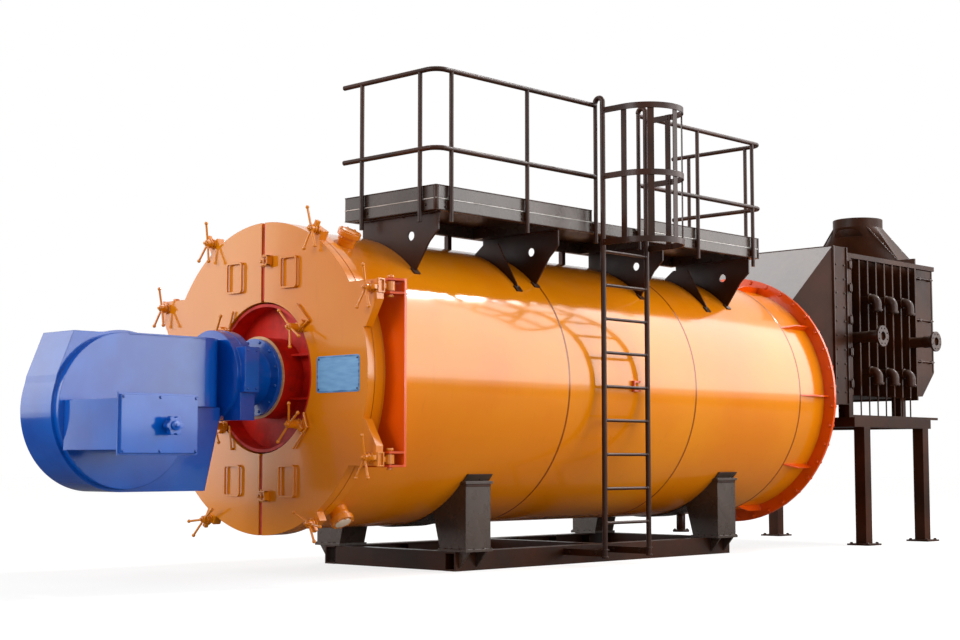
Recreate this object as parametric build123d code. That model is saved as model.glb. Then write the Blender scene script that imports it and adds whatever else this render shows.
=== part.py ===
"""Horizontal fire-tube boiler on a skid, with its forced-draught burner and flue-gas economiser.

Every size is in millimetres. Y runs from the door end to the flue end, Z is up, and the
floor under the skid is Z = 0. A station is a distance behind the front face of the doors.
"""

import math
import os

from build123d import *

os.makedirs("parts", exist_ok=True)

# Skid, which also sets where the origin lies
skid_start = 1205.0
skid_end = 4555.0
skid_half_width = 702.0
skid_height = 138.0
skid_flange_width = 110.0
skid_flange_thickness = 12.0
skid_web_thickness = 14.0
cross_beam_width = 100.0
cross_beam_inset = 60.0

# Shell, whose axis height follows from its radius and its clearance over the skid
barrel_radius = 1050.0
shell_clearance = 170.0
axis_height = skid_height + shell_clearance + barrel_radius
barrel_wall = 25.0
barrel_start = 140.0
barrel_end = 5153.0
rear_shell_step = 22.0
rear_shell_radius = barrel_radius - rear_shell_step
rear_shell_wall = 20.0
rear_flange_station = 5573.0
rear_flange_overhang = 85.0
rear_flange_radius = barrel_radius + rear_flange_overhang
rear_flange_thickness = 26.0
rear_cover_inset = 8.0
rear_cover_thickness = 16.0
gusset_count = 10
gusset_thickness = 14.0
gusset_height = 62.0
gusset_root_gap = 8.0
gusset_root = 10.0
gusset_tip = 200.0

# Capped stubs on the flank, the ladder's lug and the drain
stub_angles_deg = (60.0, -59.0)
stub_stations = (294.0, 231.0)
stub_radius = 62.0
stub_length = 70.0
stub_root = 8.0
stub_cap_radius = 82.0
stub_cap = 34.0
shell_lug_station = 2830.0
shell_lug_length = 76.0
shell_lug_height = 84.0
shell_lug_reach = 26.0
shell_lug_thickness = 16.0
drain_station = 4808.0
drain_height = 152.0
drain_flange = 18.0
drain_radius = 38.0
drain_flange_radius = 72.0

# Doors
leaf_overhang = 35.0
leaf_radius = barrel_radius + leaf_overhang
leaf_thickness = 62.0
leaf_plate = 14.0
leaf_rim = 12.0
seam_gap = 36.0
burner_hole_radius = 526.0
shoulder_overhang = 118.0
shoulder_reach = barrel_radius + shoulder_overhang
shoulder_root_inset = 22.0
shoulder_root_x = leaf_radius - shoulder_root_inset
shoulder_top = 605.0
shoulder_bottom = 475.0
shoulder_root_z = 300.0
lug_overhang = 100.0
lug_reach = barrel_radius + lug_overhang
lug_length = 200.0
lug_half_width = 55.0
lug_angle_deg = 60.0
lining_clearance = 0.5
lining_setback = 2.0
pin_offset = 2.0
hinge_x = shoulder_reach + pin_offset
hinge_station = 120.0
pin_radius = 16.0
pin_clearance = 0.08
pin_stand_out = 15.0
eye_radius = 30.0
eye_gap = 6.0
eye_arm_length = 30.0
eye_arm_height = 36.0
fork_plate_thickness = 15.0
fork_gap = 73.0
fork_top_offset = 600.0
fork_nose = 32.0
fork_nose_inner = 25.0
fork_nose_outer = 28.0
fork_neck_inset = 25.0
fork_neck_length = 20.0
wing_station = 190.0
wing_thickness = 20.0
wing_root_x = 600.0
wing_overhang = 60.0
wing_reach = hinge_x + wing_overhang
eye_frame_thickness = 12.0
eye_frame_start = 3.0
eye_frame_wall = 10.0
eye_frame_height = 94.0

# Door furniture
handle_x = 297.0
handle_width = 176.0
handle_height = 222.0
handle_corner = 28.0
handle_bar = 14.0
handle_stand_off = 26.0
handle_offsets = (716.0, -712.0)
clamp_hub_radius = 26.0
clamp_hub_depth = 62.0
clamp_inner_depth = 104.0
clamp_bar_radius = 8.0
clamp_bar_length = 142.0
clamp_bar_forward = 26.0
clamp_ball_radius = 13.0
clamp_inset = 10.0
clamp_lug_lean_deg = (95.0, 150.0)
clamp_shoulder_inset = 52.0
clamp_shoulder_height = 552.0
clamp_inner_radius = 522.0
clamp_inner_angle_deg = 39.0
clamp_inner_lean_deg = (127.0, 235.0)
clamp_spread_deg = 156.5
latch_width = 118.0
latch_height = 66.0
latch_depth = 20.0
latch_offsets = (810.0, -815.0)
latch_clearance = 2.0
plate_gap = 40.0
plate_right = barrel_radius - plate_gap
plate_width = 425.0
plate_half_height = 122.0
plate_thickness = 4.0
plate_corner = 22.0

# Front ring, tube plate and the fixed burner well
ring_gap = 6.0
ring_inset = 40.0
ring_inner_radius = barrel_radius - ring_inset
plate_gap_behind = 1.0
tube_plate_thickness = 20.0
well_clearance = 10.0
well_wall = 22.0
well_rib_thickness = 16.0
well_rib_level = 150.0
well_rib_root = 4.0
port_radius = 280.0
port_wall = 26.0
port_start = -38.0

# Burner, hung from the port in line with the shell's axis
burner_half_width = 205.0
casing_face_step = 55.0
scroll_centre_station = -1245.0
scroll_centre_drop = 258.0
scroll_centre_height = axis_height - scroll_centre_drop
scroll_radius = 512.0
scroll_disc_radius = 494.0
duct_rise = 236.0
duct_drop = 220.0
duct_high = axis_height + duct_rise
duct_low = axis_height - duct_drop
casing_top_start = -1605.0
casing_nose = ((-1720.0, 212.0), (-1756.0, 32.0))
casing_left_reach = 200.0
casing_top_step = 2.0
casing_top_overlap = 20.0
casing_rear_step = 71.0
casing_rear_low = -590.0
casing_rear_high = -473.0
duct_turn_station = -640.0
head_drum_radius = 305.0
head_drum_start = -450.0
head_drum_end = -300.0
head_tube_radius = 190.0
neck_radius = 268.0
neck_start = -75.0
head_block_reach = 346.0
head_block_start = -420.0
head_block_end = -300.0
head_block_rise = 182.0
head_block_drop = 120.0
head_box_reach = 300.0
head_box_inner = 120.0
head_box_drop = 305.0
intake_reach = 845.0
intake_cover = 18.0
intake_lip = 12.0
intake_lip_proud = 12.0
intake_start = -1719.0
intake_end = -1172.0
intake_rise = 74.0
intake_drop = 271.0
intake_body_inset = 20.0
knob_station = -1393.0
knob_drop = 107.0
knob_radius = 62.0
knob_thickness = 34.0
knob_stem_radius = 18.0
knob_stem_length = 46.0
knob_lobes = 6
knob_lobe_radius = 15.0
motor_radius = 165.0
motor_reach = 700.0

# Platform, rails and ladder
deck_inset = 38.0
deck_near = barrel_radius - deck_inset
deck_far = 76.0
deck_start = 694.0
deck_end = 4599.0
deck_rise = 192.0
deck_level = axis_height + barrel_radius + deck_rise
deck_plate = 6.0
deck_beam_height = 84.0
deck_beam_width = 44.0
toe_board_rise = 87.0
toe_board_thickness = 6.0
toe_board_gap = 20.0
rail_radius = 18.0
rail_plane_gap = 5.0
rail_rise = 894.0
rail_top = deck_level + rail_rise
rail_middle_rise = 341.0
rail_middle = deck_level + rail_middle_rise
rail_bottom_drop = 168.0
rail_bottom = deck_level - rail_bottom_drop
rail_corner_radius = 90.0
rail_far_inset = 10.0
post_radius = 16.0
rail_foot_length = 30.0
rail_foot_height = 60.0
front_post_x = (279.0, 876.0)
rear_post_x = (266.0, 868.0)
side_posts_front = (820.0, 1607.0)
side_posts_rear = (3695.0, 4480.0)
ladder_start = 2387.0
ladder_width = 529.0
ladder_end = ladder_start + ladder_width
ladder_gap = 94.0
ladder_plane = deck_near + ladder_gap
stile_radius = 20.0
rung_radius = 12.0
rung_first = 321.0
rung_pitch = 255.6
ladder_foot = 71.0
ladder_foot_plate = 12.0
ladder_foot_height = 50.0
cage_reach = 497.0
cage_overhang = 20.5
cage_hoop_rises = (-190.0, 312.0, 820.0)
cage_hoop_height = 45.0
cage_hoop_thickness = 8.0
cage_strip_width = 50.0
cage_strip_thickness = 6.0
cage_strips = 5
fitting_gap = 0.3
support_plate_thickness = 14.0
support_stations = (762.0, 2025.0, 3304.0, 4508.0)
support_tip_inset = 312.0
support_tip_x = barrel_radius - support_tip_inset
support_shoulder = 40.0
support_shoulder_height = 126.0
support_slope_x = 90.0
support_slope_z = 80.0
support_hole_offset = 38.0
support_hole_drop = 240.0
support_inner_x = 200.0
support_hole_radius = 34.0
support_foot_length = 60.0
support_foot_width = 56.0
support_foot_thickness = 10.0
lug_stations = (1776.0, 4149.0)
lug_inner_x = 440.0
lug_outer_x = 590.0
lug_tip_overhang = 47.0
lug_lean = 140.0
lug_rise = 6.0
lug_nose_x = 35.0
lug_nose_z = 64.0
lug_tip_rise = 25.0
far_post_stations = (1750.0, 3096.0)
far_post_x = 62.0
far_post_size = 40.0

# Saddles
saddle_stations = (1337.0, 4380.0)
saddle_length = 256.0
saddle_overhang = 98.0
saddle_half_width = skid_half_width + saddle_overhang
saddle_inner = 540.0
saddle_web_inset = 635.0
saddle_web_top_x = barrel_radius - saddle_web_inset
saddle_plate = 20.0
saddle_edge = 12.0
saddle_top_drop = 738.0
saddle_top = axis_height - saddle_top_drop
saddle_pad_thickness = 12.0
saddle_pad_drop = 668.0
saddle_gusset_thickness = 20.0
saddle_gusset_inset = 30.0
saddle_gusset_foot = 20.0
shell_contact = 1.0

# Economiser, whose heights follow the shell's axis
eco_half_width = 850.0
eco_flange_start = 6050.0
eco_flange_end = 6290.0
eco_drop = 52.0
eco_low = axis_height - eco_drop
eco_rise = 1422.0
eco_high = axis_height + eco_rise
eco_frame_wall = 60.0
inlet_wall = 8.0
inlet_half_width = 685.0
inlet_drop = 358.0
inlet_rise = 892.0
inlet_end_inset = 10.0
bank_start = 6290.0
bank_end = 7565.0
bank_lift = 94.0
bank_low = eco_low + bank_lift
bank_cover = 90.0
bank_high = eco_high - bank_cover
bank_half_width = 730.0
frame_bar = 45.0
front_post_length = 62.0
rear_frame_thickness = 25.0
rear_frame_rise = 10.0
rear_frame_drop = 20.0
fin_count = 8
fin_first = 6370.0
fin_last = 7450.0
fin_thickness = 22.0
fin_inset = 5.0
elbow_radius = 44.0
elbow_bend = 55.0
elbow_out = 75.0
elbow_drop = 105.0
elbow_cap_radius = 54.0
elbow_cap = 14.0
elbow_stations = (6700.0, 7000.0, 7315.0)
elbow_rises = (925.0, 230.0)
nozzle_stations = (6485.0, 7495.0)
nozzle_rise = 546.0
nozzle_height = bank_low + nozzle_rise
nozzle_radius = 52.0
nozzle_out = 260.0
nozzle_reach = eco_half_width + nozzle_out
nozzle_flange_radius = 98.0
nozzle_flange_thickness = 22.0
nozzle_bore = 42.0
nozzle_root = 40.0
nozzle_bolts = 8
nozzle_bolt_circle = 75.0
nozzle_bolt_radius = 8.0
hood_half_width = 720.0
hood_end = 8150.0
hood_lift = 30.0
hood_low = bank_low + hood_lift
hood_cover = 20.0
hood_high = eco_high - hood_cover
hood_chamfer = 240.0
beam_overrun = 190.0
stack_station = 7935.0
stack_shift = 60.0
stack_base_x = 562.0
stack_base_y = 150.0
stack_radius = 255.0
stack_wall = 8.0
stack_bore_depth = 100.0
stack_taper = 440.0
stack_collar_low = hood_high + stack_taper
stack_collar = 85.0
stack_collar_high = stack_collar_low + stack_collar
drip_rail_height = 24.0
drip_rail_width = 24.0
drip_rail_end = 7970.0
drip_rod_radius = 7.0

# Stand
leg_x = 905.0
leg_stations = (6512.0, 7612.0)
leg_size = 110.0
leg_foot = 230.0
leg_foot_thickness = 15.0
stand_gap = 116.0
stand_top = eco_low - stand_gap
stand_beam_height = 90.0
bearer_x = 680.0
bearer_stations = (6512.0, 7500.0)
bearer_size = 100.0

front = -(skid_start + skid_end) / 2


def at(station):
    """Y of a station behind the door face."""
    return front + station


def block(x0, x1, y0, y1, z0, z1):
    return Pos((x0 + x1) / 2, (y0 + y1) / 2, (z0 + z1) / 2) * Box(x1 - x0, y1 - y0, z1 - z0)


def rod(start, end, radius):
    along = Vector(*end) - Vector(*start)
    upright = (Align.CENTER, Align.CENTER, Align.MIN)
    return Plane(origin=start, z_dir=along) * Cylinder(radius, along.length, align=upright)


def drum(radius, start, end, x=0.0, z=axis_height):
    """Round bar along Y between two stations."""
    return rod((x, at(start), z), (x, at(end), z), radius)


def ball(centre, radius):
    return Pos(*centre) * Sphere(radius)


def slab(points, depth, direction):
    return extrude(make_face(Polyline(*points, close=True)), amount=depth, dir=direction)


def cross_slab(points, start, end):
    """Outline in X and Z, run from one station to another."""
    return slab([(x, at(start), z) for x, z in points], end - start, (0, 1, 0))


def side_slab(points, x0, x1):
    """Outline in station and Z, run from one X to another."""
    return slab([(x0, at(s), z) for s, z in points], x1 - x0, (1, 0, 0))


def flat_slab(points, z0, z1):
    """Outline in X and station, run from one height to another."""
    return slab([(x, at(s), z0) for x, s in points], z1 - z0, (0, 0, 1))


def bent_bar(points, radius, bend):
    path = FilletPolyline(*points, radius=bend)
    return sweep(Plane(origin=path @ 0, z_dir=path % 0) * Circle(radius), path=path)


def both_sides(shape):
    return shape + mirror(shape, about=Plane.YZ)


def save(shape, name):
    export_step(shape, "parts/" + name + ".step")


# Shell and what is welded to it


def shell_barrel():
    barrel = drum(barrel_radius, barrel_start, barrel_end)
    barrel -= drum(barrel_radius - barrel_wall, barrel_start - 1, barrel_end + 1)
    return barrel


def front_ring():
    start = leaf_thickness + ring_gap
    ring = drum(leaf_radius, start, barrel_start)
    return ring - drum(ring_inner_radius, start - 1, barrel_start + 1)


def tube_plate():
    start = barrel_start + plate_gap_behind
    plate = drum(barrel_radius - barrel_wall, start, start + tube_plate_thickness)
    return plate - drum(port_radius, start - 1, start + tube_plate_thickness + 1)


def burner_well():
    """Round lining of the door opening, with four ribs and the tube the burner fires through."""
    back = barrel_start + plate_gap_behind
    outer = burner_hole_radius - well_clearance
    inner = outer - well_wall
    well = drum(outer, leaf_plate, back) - drum(inner, leaf_plate - 1, back + 1)
    for side in (-1, 1):
        for level in (-well_rib_level, well_rib_level):
            reach = math.sqrt(inner**2 - level**2) + well_rib_root
            near = math.sqrt(port_radius**2 - level**2) - well_rib_root
            low = axis_height + level - well_rib_thickness / 2
            edges = sorted((side * near, side * reach))
            well += block(*edges, at(leaf_thickness), at(back), low, low + well_rib_thickness)
    port_end = back + tube_plate_thickness
    well += drum(port_radius, port_start, port_end)
    return well - drum(port_radius - port_wall, port_start - 1, port_end + 1)


def rear_shell():
    inner = rear_shell_radius - rear_shell_wall
    shell = drum(rear_shell_radius, barrel_end, rear_flange_station)
    return shell - drum(inner, barrel_end - 1, rear_flange_station + 1)


def rear_cover():
    """Round plate behind the rear flange, where the flue gas duct begins."""
    start = rear_flange_station + rear_flange_thickness
    return drum(rear_flange_radius - rear_cover_inset, start, start + rear_cover_thickness)


def rear_gusset(angle_deg):
    start = barrel_end + gusset_root_gap
    end = rear_flange_station
    low = rear_shell_radius - gusset_root
    high = low + gusset_height
    points = [(low, start), (low, end), (high, end), (high, end - gusset_tip)]
    plate = flat_slab(points, -gusset_thickness / 2, gusset_thickness / 2)
    turn = Pos(0, 0, axis_height) * Rot(0, angle_deg, 0)
    return turn * plate - drum(rear_shell_radius, start - 1, end + 1)


def rear_flange():
    """Flange round the bare end of the shell with its stiffening gussets."""
    end = rear_flange_station + rear_flange_thickness
    ring = drum(rear_flange_radius, rear_flange_station, end)
    ring -= drum(rear_shell_radius - rear_shell_wall, rear_flange_station - 1, end + 1)
    for i in range(gusset_count):
        ring += rear_gusset(360 * i / gusset_count)
    return ring


def hinge_wing(side):
    """Upright plate on the front ring with two forks, each holding a fixed pin."""
    low = axis_height - fork_top_offset - fork_plate_thickness
    high = axis_height + fork_top_offset + fork_plate_thickness
    y0 = at(wing_station)
    wing = block(wing_root_x, wing_reach, y0, y0 + wing_thickness, low, high)
    nose = hinge_station - fork_nose
    fork = [
        (hinge_x - fork_nose_inner, nose),
        (hinge_x + fork_nose_outer, nose),
        (wing_reach, wing_station),
        (wing_root_x, wing_station),
        (leaf_radius - fork_neck_inset, wing_station - fork_neck_length),
    ]
    fork_height = fork_gap + 2 * fork_plate_thickness
    y = at(hinge_station)
    for foot in (low, high - fork_height):
        tip = foot + fork_height
        for level in (foot, tip - fork_plate_thickness):
            wing += flat_slab(fork, level, level + fork_plate_thickness)
        wing += rod((hinge_x, y, foot - pin_stand_out), (hinge_x, y, tip + pin_stand_out), pin_radius)
    wing -= drum(barrel_radius, barrel_start, wing_station + wing_thickness + 1)
    wing -= drum(leaf_radius + ring_gap, 0, barrel_start)
    return wing if side > 0 else mirror(wing, about=Plane.YZ)


def hinge_wings():
    return Compound(children=[hinge_wing(1), hinge_wing(-1)])


def capped_stub(angle_deg, station):
    turn = math.radians(angle_deg)
    out_x = math.cos(turn)
    out_z = math.sin(turn)
    y = at(station)
    foot = barrel_radius - stub_root
    tip = barrel_radius + stub_length
    top = tip + stub_cap
    low_point = (out_x * foot, y, axis_height + out_z * foot)
    middle = (out_x * tip, y, axis_height + out_z * tip)
    high_point = (out_x * top, y, axis_height + out_z * top)
    stub = rod(low_point, middle, stub_radius) + rod(middle, high_point, stub_cap_radius)
    return stub - drum(barrel_radius, barrel_start, station + 4 * stub_radius)


def drain():
    y = at(drain_station)
    flange_top = drain_height + drain_flange
    pipe = rod((0, y, flange_top), (0, y, axis_height - barrel_radius + stub_root), drain_radius)
    pipe += rod((0, y, drain_height), (0, y, flange_top), drain_flange_radius)
    return pipe - drum(barrel_radius, barrel_start, barrel_end)


def shell_stubs():
    """Two capped fittings on the shell's flank behind the door and a drain under its far end."""
    pieces = [capped_stub(angle, station) for angle, station in zip(stub_angles_deg, stub_stations)]
    return Compound(children=pieces + [drain()])


def shell_lug():
    """Small open bracket welded on the shell's flank between the ladder's stiles."""
    half = shell_lug_height / 2
    y0 = at(shell_lug_station - shell_lug_length / 2)
    y1 = y0 + shell_lug_length
    reach = barrel_radius + shell_lug_reach
    wall = shell_lug_thickness
    low = axis_height - half
    high = axis_height + half
    lug = block(barrel_radius - stub_root, reach, y0, y1, low, high)
    lug -= block(barrel_radius - stub_root, reach + 1, y0 + wall, y1 + 1, low + wall, high - wall)
    return lug - drum(barrel_radius, barrel_start, barrel_end)


# Doors, drawn for the right leaf and mirrored for the left one


def leaf_outline():
    upper = make_face(
        Polyline(
            (0, shoulder_root_z),
            (shoulder_root_x, shoulder_root_z),
            (shoulder_reach, shoulder_bottom),
            (shoulder_reach, shoulder_top),
            (0, shoulder_top),
            close=True,
        )
    )
    outline = Circle(leaf_radius) + upper + mirror(upper, about=Plane.XZ)
    for angle in (lug_angle_deg, -lug_angle_deg):
        lug = Pos(lug_reach - lug_length / 2, 0) * Rectangle(lug_length, 2 * lug_half_width)
        outline += Rot(0, 0, angle) * lug
    outline -= Circle(burner_hole_radius)
    reach = 2 * leaf_radius
    return outline & Pos((seam_gap + reach) / 2, 0) * Rectangle(reach, 2 * reach)


def upright(sketch, station):
    """Stand an outline drawn in X and Z at a station."""
    return Plane(origin=(0, at(station), axis_height), x_dir=(1, 0, 0), z_dir=(0, -1, 0)) * sketch


def door_leaf():
    outline = leaf_outline()
    body = extrude(upright(outline, 0), amount=leaf_thickness, dir=(0, 1, 0))
    inside = offset(outline, amount=-leaf_rim, kind=Kind.INTERSECTION)
    return body - extrude(upright(inside, leaf_plate), amount=leaf_thickness, dir=(0, 1, 0))


def door_lining():
    inside = offset(leaf_outline(), amount=-leaf_rim - lining_clearance, kind=Kind.INTERSECTION)
    depth = leaf_thickness - leaf_plate - lining_setback
    return extrude(upright(inside, leaf_plate), amount=depth, dir=(0, 1, 0))


def hinge_eye(top):
    """Frame on the shoulder's end, arm and knuckle round the pin; its top under the fork plate."""
    high = top - fork_plate_thickness - eye_gap
    low = top - fork_plate_thickness - fork_gap + eye_gap
    middle = (high + low) / 2
    y = at(hinge_station)
    arm_end = at(leaf_thickness)
    arm_half = eye_arm_height / 2
    eye = rod((hinge_x, y, low), (hinge_x, y, high), eye_radius)
    arm_start = shoulder_reach - eye_arm_length
    eye += block(arm_start, shoulder_reach, arm_end, y, middle - arm_half, middle + arm_half)
    frame_x = shoulder_reach + eye_frame_thickness
    half = eye_frame_height / 2
    y0 = at(eye_frame_start)
    frame = block(shoulder_reach, frame_x, y0, arm_end, middle - half, middle + half)
    wall = eye_frame_wall
    inner_low = middle - half + wall
    inner_high = middle + half - wall
    frame -= block(shoulder_reach, frame_x, y0 + wall, arm_end - wall, inner_low, inner_high)
    return eye + frame - rod((hinge_x, y, low - 1), (hinge_x, y, high + 1), pin_radius + pin_clearance)


def hinge_eyes():
    high = axis_height + fork_top_offset + fork_plate_thickness
    low = axis_height - fork_top_offset - fork_plate_thickness
    return hinge_eye(high) + hinge_eye(low + fork_gap + 2 * fork_plate_thickness)


def door_handle(offset_z):
    """Flat round-cornered ring held off the leaf by two short legs."""
    inner_width = handle_width - 2 * handle_bar
    inner_height = handle_height - 2 * handle_bar
    ring = RectangleRounded(handle_width, handle_height, handle_corner)
    ring -= RectangleRounded(inner_width, inner_height, handle_corner - handle_bar)
    placed = upright(Pos(handle_x, offset_z) * ring, -handle_stand_off + handle_bar)
    shape = extrude(placed, amount=handle_bar, dir=(0, -1, 0))
    middle = axis_height + offset_z
    out = at(-handle_stand_off + handle_bar / 2)
    half = handle_bar / 2
    for end in (-1, 1):
        z = middle + end * (handle_height - handle_bar) / 2
        shape += block(handle_x - half, handle_x + half, out, at(0), z - half, z + half)
    return shape


def door_handles():
    return Compound(children=[door_handle(offset_z) for offset_z in handle_offsets])


def clamp(x, offset_z, lean_deg, depth):
    """Hub with three arms ending in balls; two of the arms point nearly away from the first."""
    z = axis_height + offset_z
    shape = rod((x, at(0), z), (x, at(-depth), z), clamp_hub_radius)
    root = at(-depth + clamp_ball_radius)
    for swing in (0, clamp_spread_deg, -clamp_spread_deg):
        angle = math.radians(lean_deg + swing)
        tip_x = x + clamp_bar_length * math.cos(angle)
        tip_z = z + clamp_bar_length * math.sin(angle)
        tip = (tip_x, root - clamp_bar_forward, tip_z)
        shape += rod((x, root, z), tip, clamp_bar_radius) + ball(tip, clamp_ball_radius)
    return shape


def door_clamps():
    clamps = []
    lug_reach_x = (lug_reach - clamp_inset) * math.cos(math.radians(lug_angle_deg))
    lug_reach_z = (lug_reach - clamp_inset) * math.sin(math.radians(lug_angle_deg))
    shoulder_x = shoulder_reach - clamp_shoulder_inset
    inner_x = clamp_inner_radius * math.cos(math.radians(clamp_inner_angle_deg))
    inner_z = clamp_inner_radius * math.sin(math.radians(clamp_inner_angle_deg))
    for side, lug_lean, inner_lean in zip((1, -1), clamp_lug_lean_deg, clamp_inner_lean_deg):
        clamps.append(clamp(lug_reach_x, side * lug_reach_z, lug_lean, clamp_hub_depth))
        clamps.append(clamp(shoulder_x, side * clamp_shoulder_height, 90, clamp_hub_depth))
        clamps.append(clamp(inner_x, side * inner_z, inner_lean, clamp_inner_depth))
    return Compound(children=clamps)


def door_latch():
    plates = []
    x0 = latch_clearance - seam_gap / 2
    for offset_z in latch_offsets:
        low = axis_height + offset_z - latch_height / 2
        plates.append(block(x0, x0 + latch_width, at(-latch_depth), at(0), low, low + latch_height))
    return Compound(children=plates)


def name_plate():
    outline = RectangleRounded(plate_width, 2 * plate_half_height, plate_corner)
    sketch = Pos(plate_right - plate_width / 2, 0) * outline
    return extrude(upright(sketch, 0), amount=plate_thickness, dir=(0, -1, 0))


# Burner


def along_x(radius, x0, x1, station, z):
    """Round bar across the boiler at a station."""
    return rod((x0, at(station), z), (x1, at(station), z), radius)


def burner_casing():
    """Scroll with its sloping back and the tangential duct above it."""
    face = burner_half_width - casing_face_step
    left = -casing_left_reach
    low = scroll_centre_height - scroll_radius
    top = duct_high - casing_top_step
    turn = duct_turn_station + casing_top_overlap
    outline = [
        (scroll_centre_station, low),
        (casing_rear_low, low),
        (casing_rear_high, duct_low - casing_rear_step),
        (casing_rear_high, duct_low),
        (turn, duct_low),
        (turn, top),
        (casing_top_start, top),
    ]
    outline += [(station, scroll_centre_height + rise) for station, rise in casing_nose]
    outline.append((scroll_centre_station, scroll_centre_height))
    casing = along_x(scroll_radius, left, face, scroll_centre_station, scroll_centre_height)
    casing += side_slab(outline, left, face)
    disc = along_x(scroll_disc_radius, face, burner_half_width, scroll_centre_station, scroll_centre_height)
    return casing + disc


def burner_duct():
    """Upper duct with a round end, cut flat where the head meets it."""
    reach = burner_half_width
    y1 = at(duct_turn_station)
    duct = block(-reach, reach, at(scroll_centre_station), y1, duct_low, duct_high)
    duct += rod((0, y1, duct_low), (0, y1, duct_high), reach)
    return duct - block(-reach, reach, at(head_drum_start), y1 + 2 * reach, duct_low, duct_high)


def burner_head():
    head = drum(head_drum_radius, head_drum_start, head_drum_end)
    head += drum(head_tube_radius, head_drum_end, neck_start)
    head += drum(neck_radius, neck_start, port_start)
    y0 = at(head_block_start)
    y1 = at(head_block_end)
    low = axis_height - head_block_drop
    head += block(0, head_block_reach, y0, y1, low, axis_height + head_block_rise)
    box_low = axis_height - head_box_drop
    return head + block(head_box_inner, head_box_reach, y0, y1, box_low, low)


def intake_box():
    """Air intake on the fan's near side with a lip and a raised cover."""
    y0 = at(intake_start)
    y1 = at(intake_end)
    low = scroll_centre_height - intake_drop
    high = scroll_centre_height + intake_rise
    cover_x = intake_reach - intake_cover
    lip_x = cover_x - intake_lip
    inset = intake_body_inset
    proud = intake_lip_proud
    box = block(burner_half_width, lip_x, y0 + inset, y1 - inset, low + inset, high - inset)
    box += block(lip_x, cover_x, y0 - proud, y1 + proud, low - proud, high + proud)
    return box + block(cover_x, intake_reach, y0, y1, low, high)


def damper_knob():
    """Lobed knob on a stem, on the intake's cover."""
    z = scroll_centre_height - knob_drop
    end = intake_reach + knob_stem_length
    knob = along_x(knob_stem_radius, intake_reach, end, knob_station, z)
    tip = end + knob_thickness
    knob += along_x(knob_radius - knob_lobe_radius, end, tip, knob_station, z)
    for i in range(knob_lobes):
        angle = 2 * math.pi * i / knob_lobes
        station = knob_station + (knob_radius - knob_lobe_radius) * math.cos(angle)
        lobe_z = z + (knob_radius - knob_lobe_radius) * math.sin(angle)
        knob += along_x(knob_lobe_radius, end, tip, station, lobe_z)
    return knob


def fan_motor():
    z = scroll_centre_height
    motor = along_x(motor_radius, -motor_reach, -casing_left_reach, scroll_centre_station, z)
    return motor - burner_duct()


# Platform, rails and ladder


def frame_top():
    return deck_level - deck_plate


def frame_low():
    return frame_top() - deck_beam_height


def platform_deck():
    return block(deck_far, deck_near, at(deck_start), at(deck_end), frame_top(), deck_level)


def platform_frame():
    y0 = at(deck_start)
    y1 = at(deck_end)
    top = frame_top()
    low = frame_low()
    beam = deck_beam_width
    frame = block(deck_far, deck_near, y0, y1, low, top)
    frame -= block(deck_far + beam, deck_near - beam, y0 + beam, y1 - beam, low, top)
    for station in support_stations[1:-1]:
        y = at(station)
        frame += block(deck_far, deck_near, y - beam / 2, y + beam / 2, low, top)
    return frame


def toe_board_side(start, end):
    x0 = deck_near - toe_board_thickness
    return block(x0, deck_near, at(start), at(end), deck_level, deck_level + toe_board_rise)


def toe_boards():
    """Upright strips round the deck, open at the far side and at the ladder."""
    high = deck_level + toe_board_rise
    step = toe_board_thickness
    y0 = at(deck_start)
    y1 = at(deck_end)
    near = block(deck_far, deck_near, y0, y0 + step, deck_level, high)
    near += toe_board_side(deck_start + step, ladder_start - toe_board_gap)
    rear = block(deck_far, deck_near, y1 - step, y1, deck_level, high)
    rear += toe_board_side(ladder_end + toe_board_gap, deck_end - step)
    return Compound(children=[near, rear])


def rail_x():
    return deck_near + rail_plane_gap + rail_radius


def post_foot():
    """Height at which a rail post's foot block meets the platform frame."""
    return frame_low() + (deck_beam_height - rail_foot_height) / 2


def end_rail(y, deck_edge, posts):
    """Rail across one end of the platform, in the plane at y."""
    near = rail_x() - rail_corner_radius
    far = deck_far + rail_far_inset
    half = rail_foot_length / 2
    low = post_foot()
    edges = sorted((y, deck_edge))
    shape = None
    for level in (rail_top, rail_middle):
        bar = rod((far, y, level), (near, y, level), rail_radius)
        shape = bar if shape is None else shape + bar
    for x in posts:
        shape += rod((x, y, rail_bottom), (x, y, rail_top), post_radius)
        shape += block(x - half, x + half, *edges, low, low + rail_foot_height)
    return shape


def end_rails():
    """Rails across the two ends of the platform."""
    step = rail_radius + rail_plane_gap
    y0 = at(deck_start)
    y1 = at(deck_end)
    return Compound(children=[end_rail(y0 - step, y0, front_post_x), end_rail(y1 + step, y1, rear_post_x)])


def side_rail(corner, end, posts):
    """Rail along the ladder side that turns round the platform's corner at one end."""
    x = rail_x()
    inward = 1 if end > corner else -1
    turn_start = at(corner) + inward * rail_corner_radius
    centre_x = x - rail_corner_radius
    half = rail_foot_length / 2
    low = post_foot()
    shape = None
    for level in (rail_top, rail_middle):
        bar = rod((x, turn_start, level), (x, at(end), level), rail_radius)
        profile = Plane(origin=(x, turn_start, level), z_dir=(0, 1, 0)) * Circle(rail_radius)
        bar += revolve(profile, Axis((centre_x, turn_start, level), (0, 0, -inward)), 90)
        shape = bar if shape is None else shape + bar
    for station in posts:
        y = at(station)
        top = rail_top + rail_radius if station == end else rail_top
        shape += rod((x, y, rail_bottom), (x, y, top), post_radius)
        shape += block(deck_near, x, y - half, y + half, low, low + rail_foot_height)
    return shape


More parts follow.
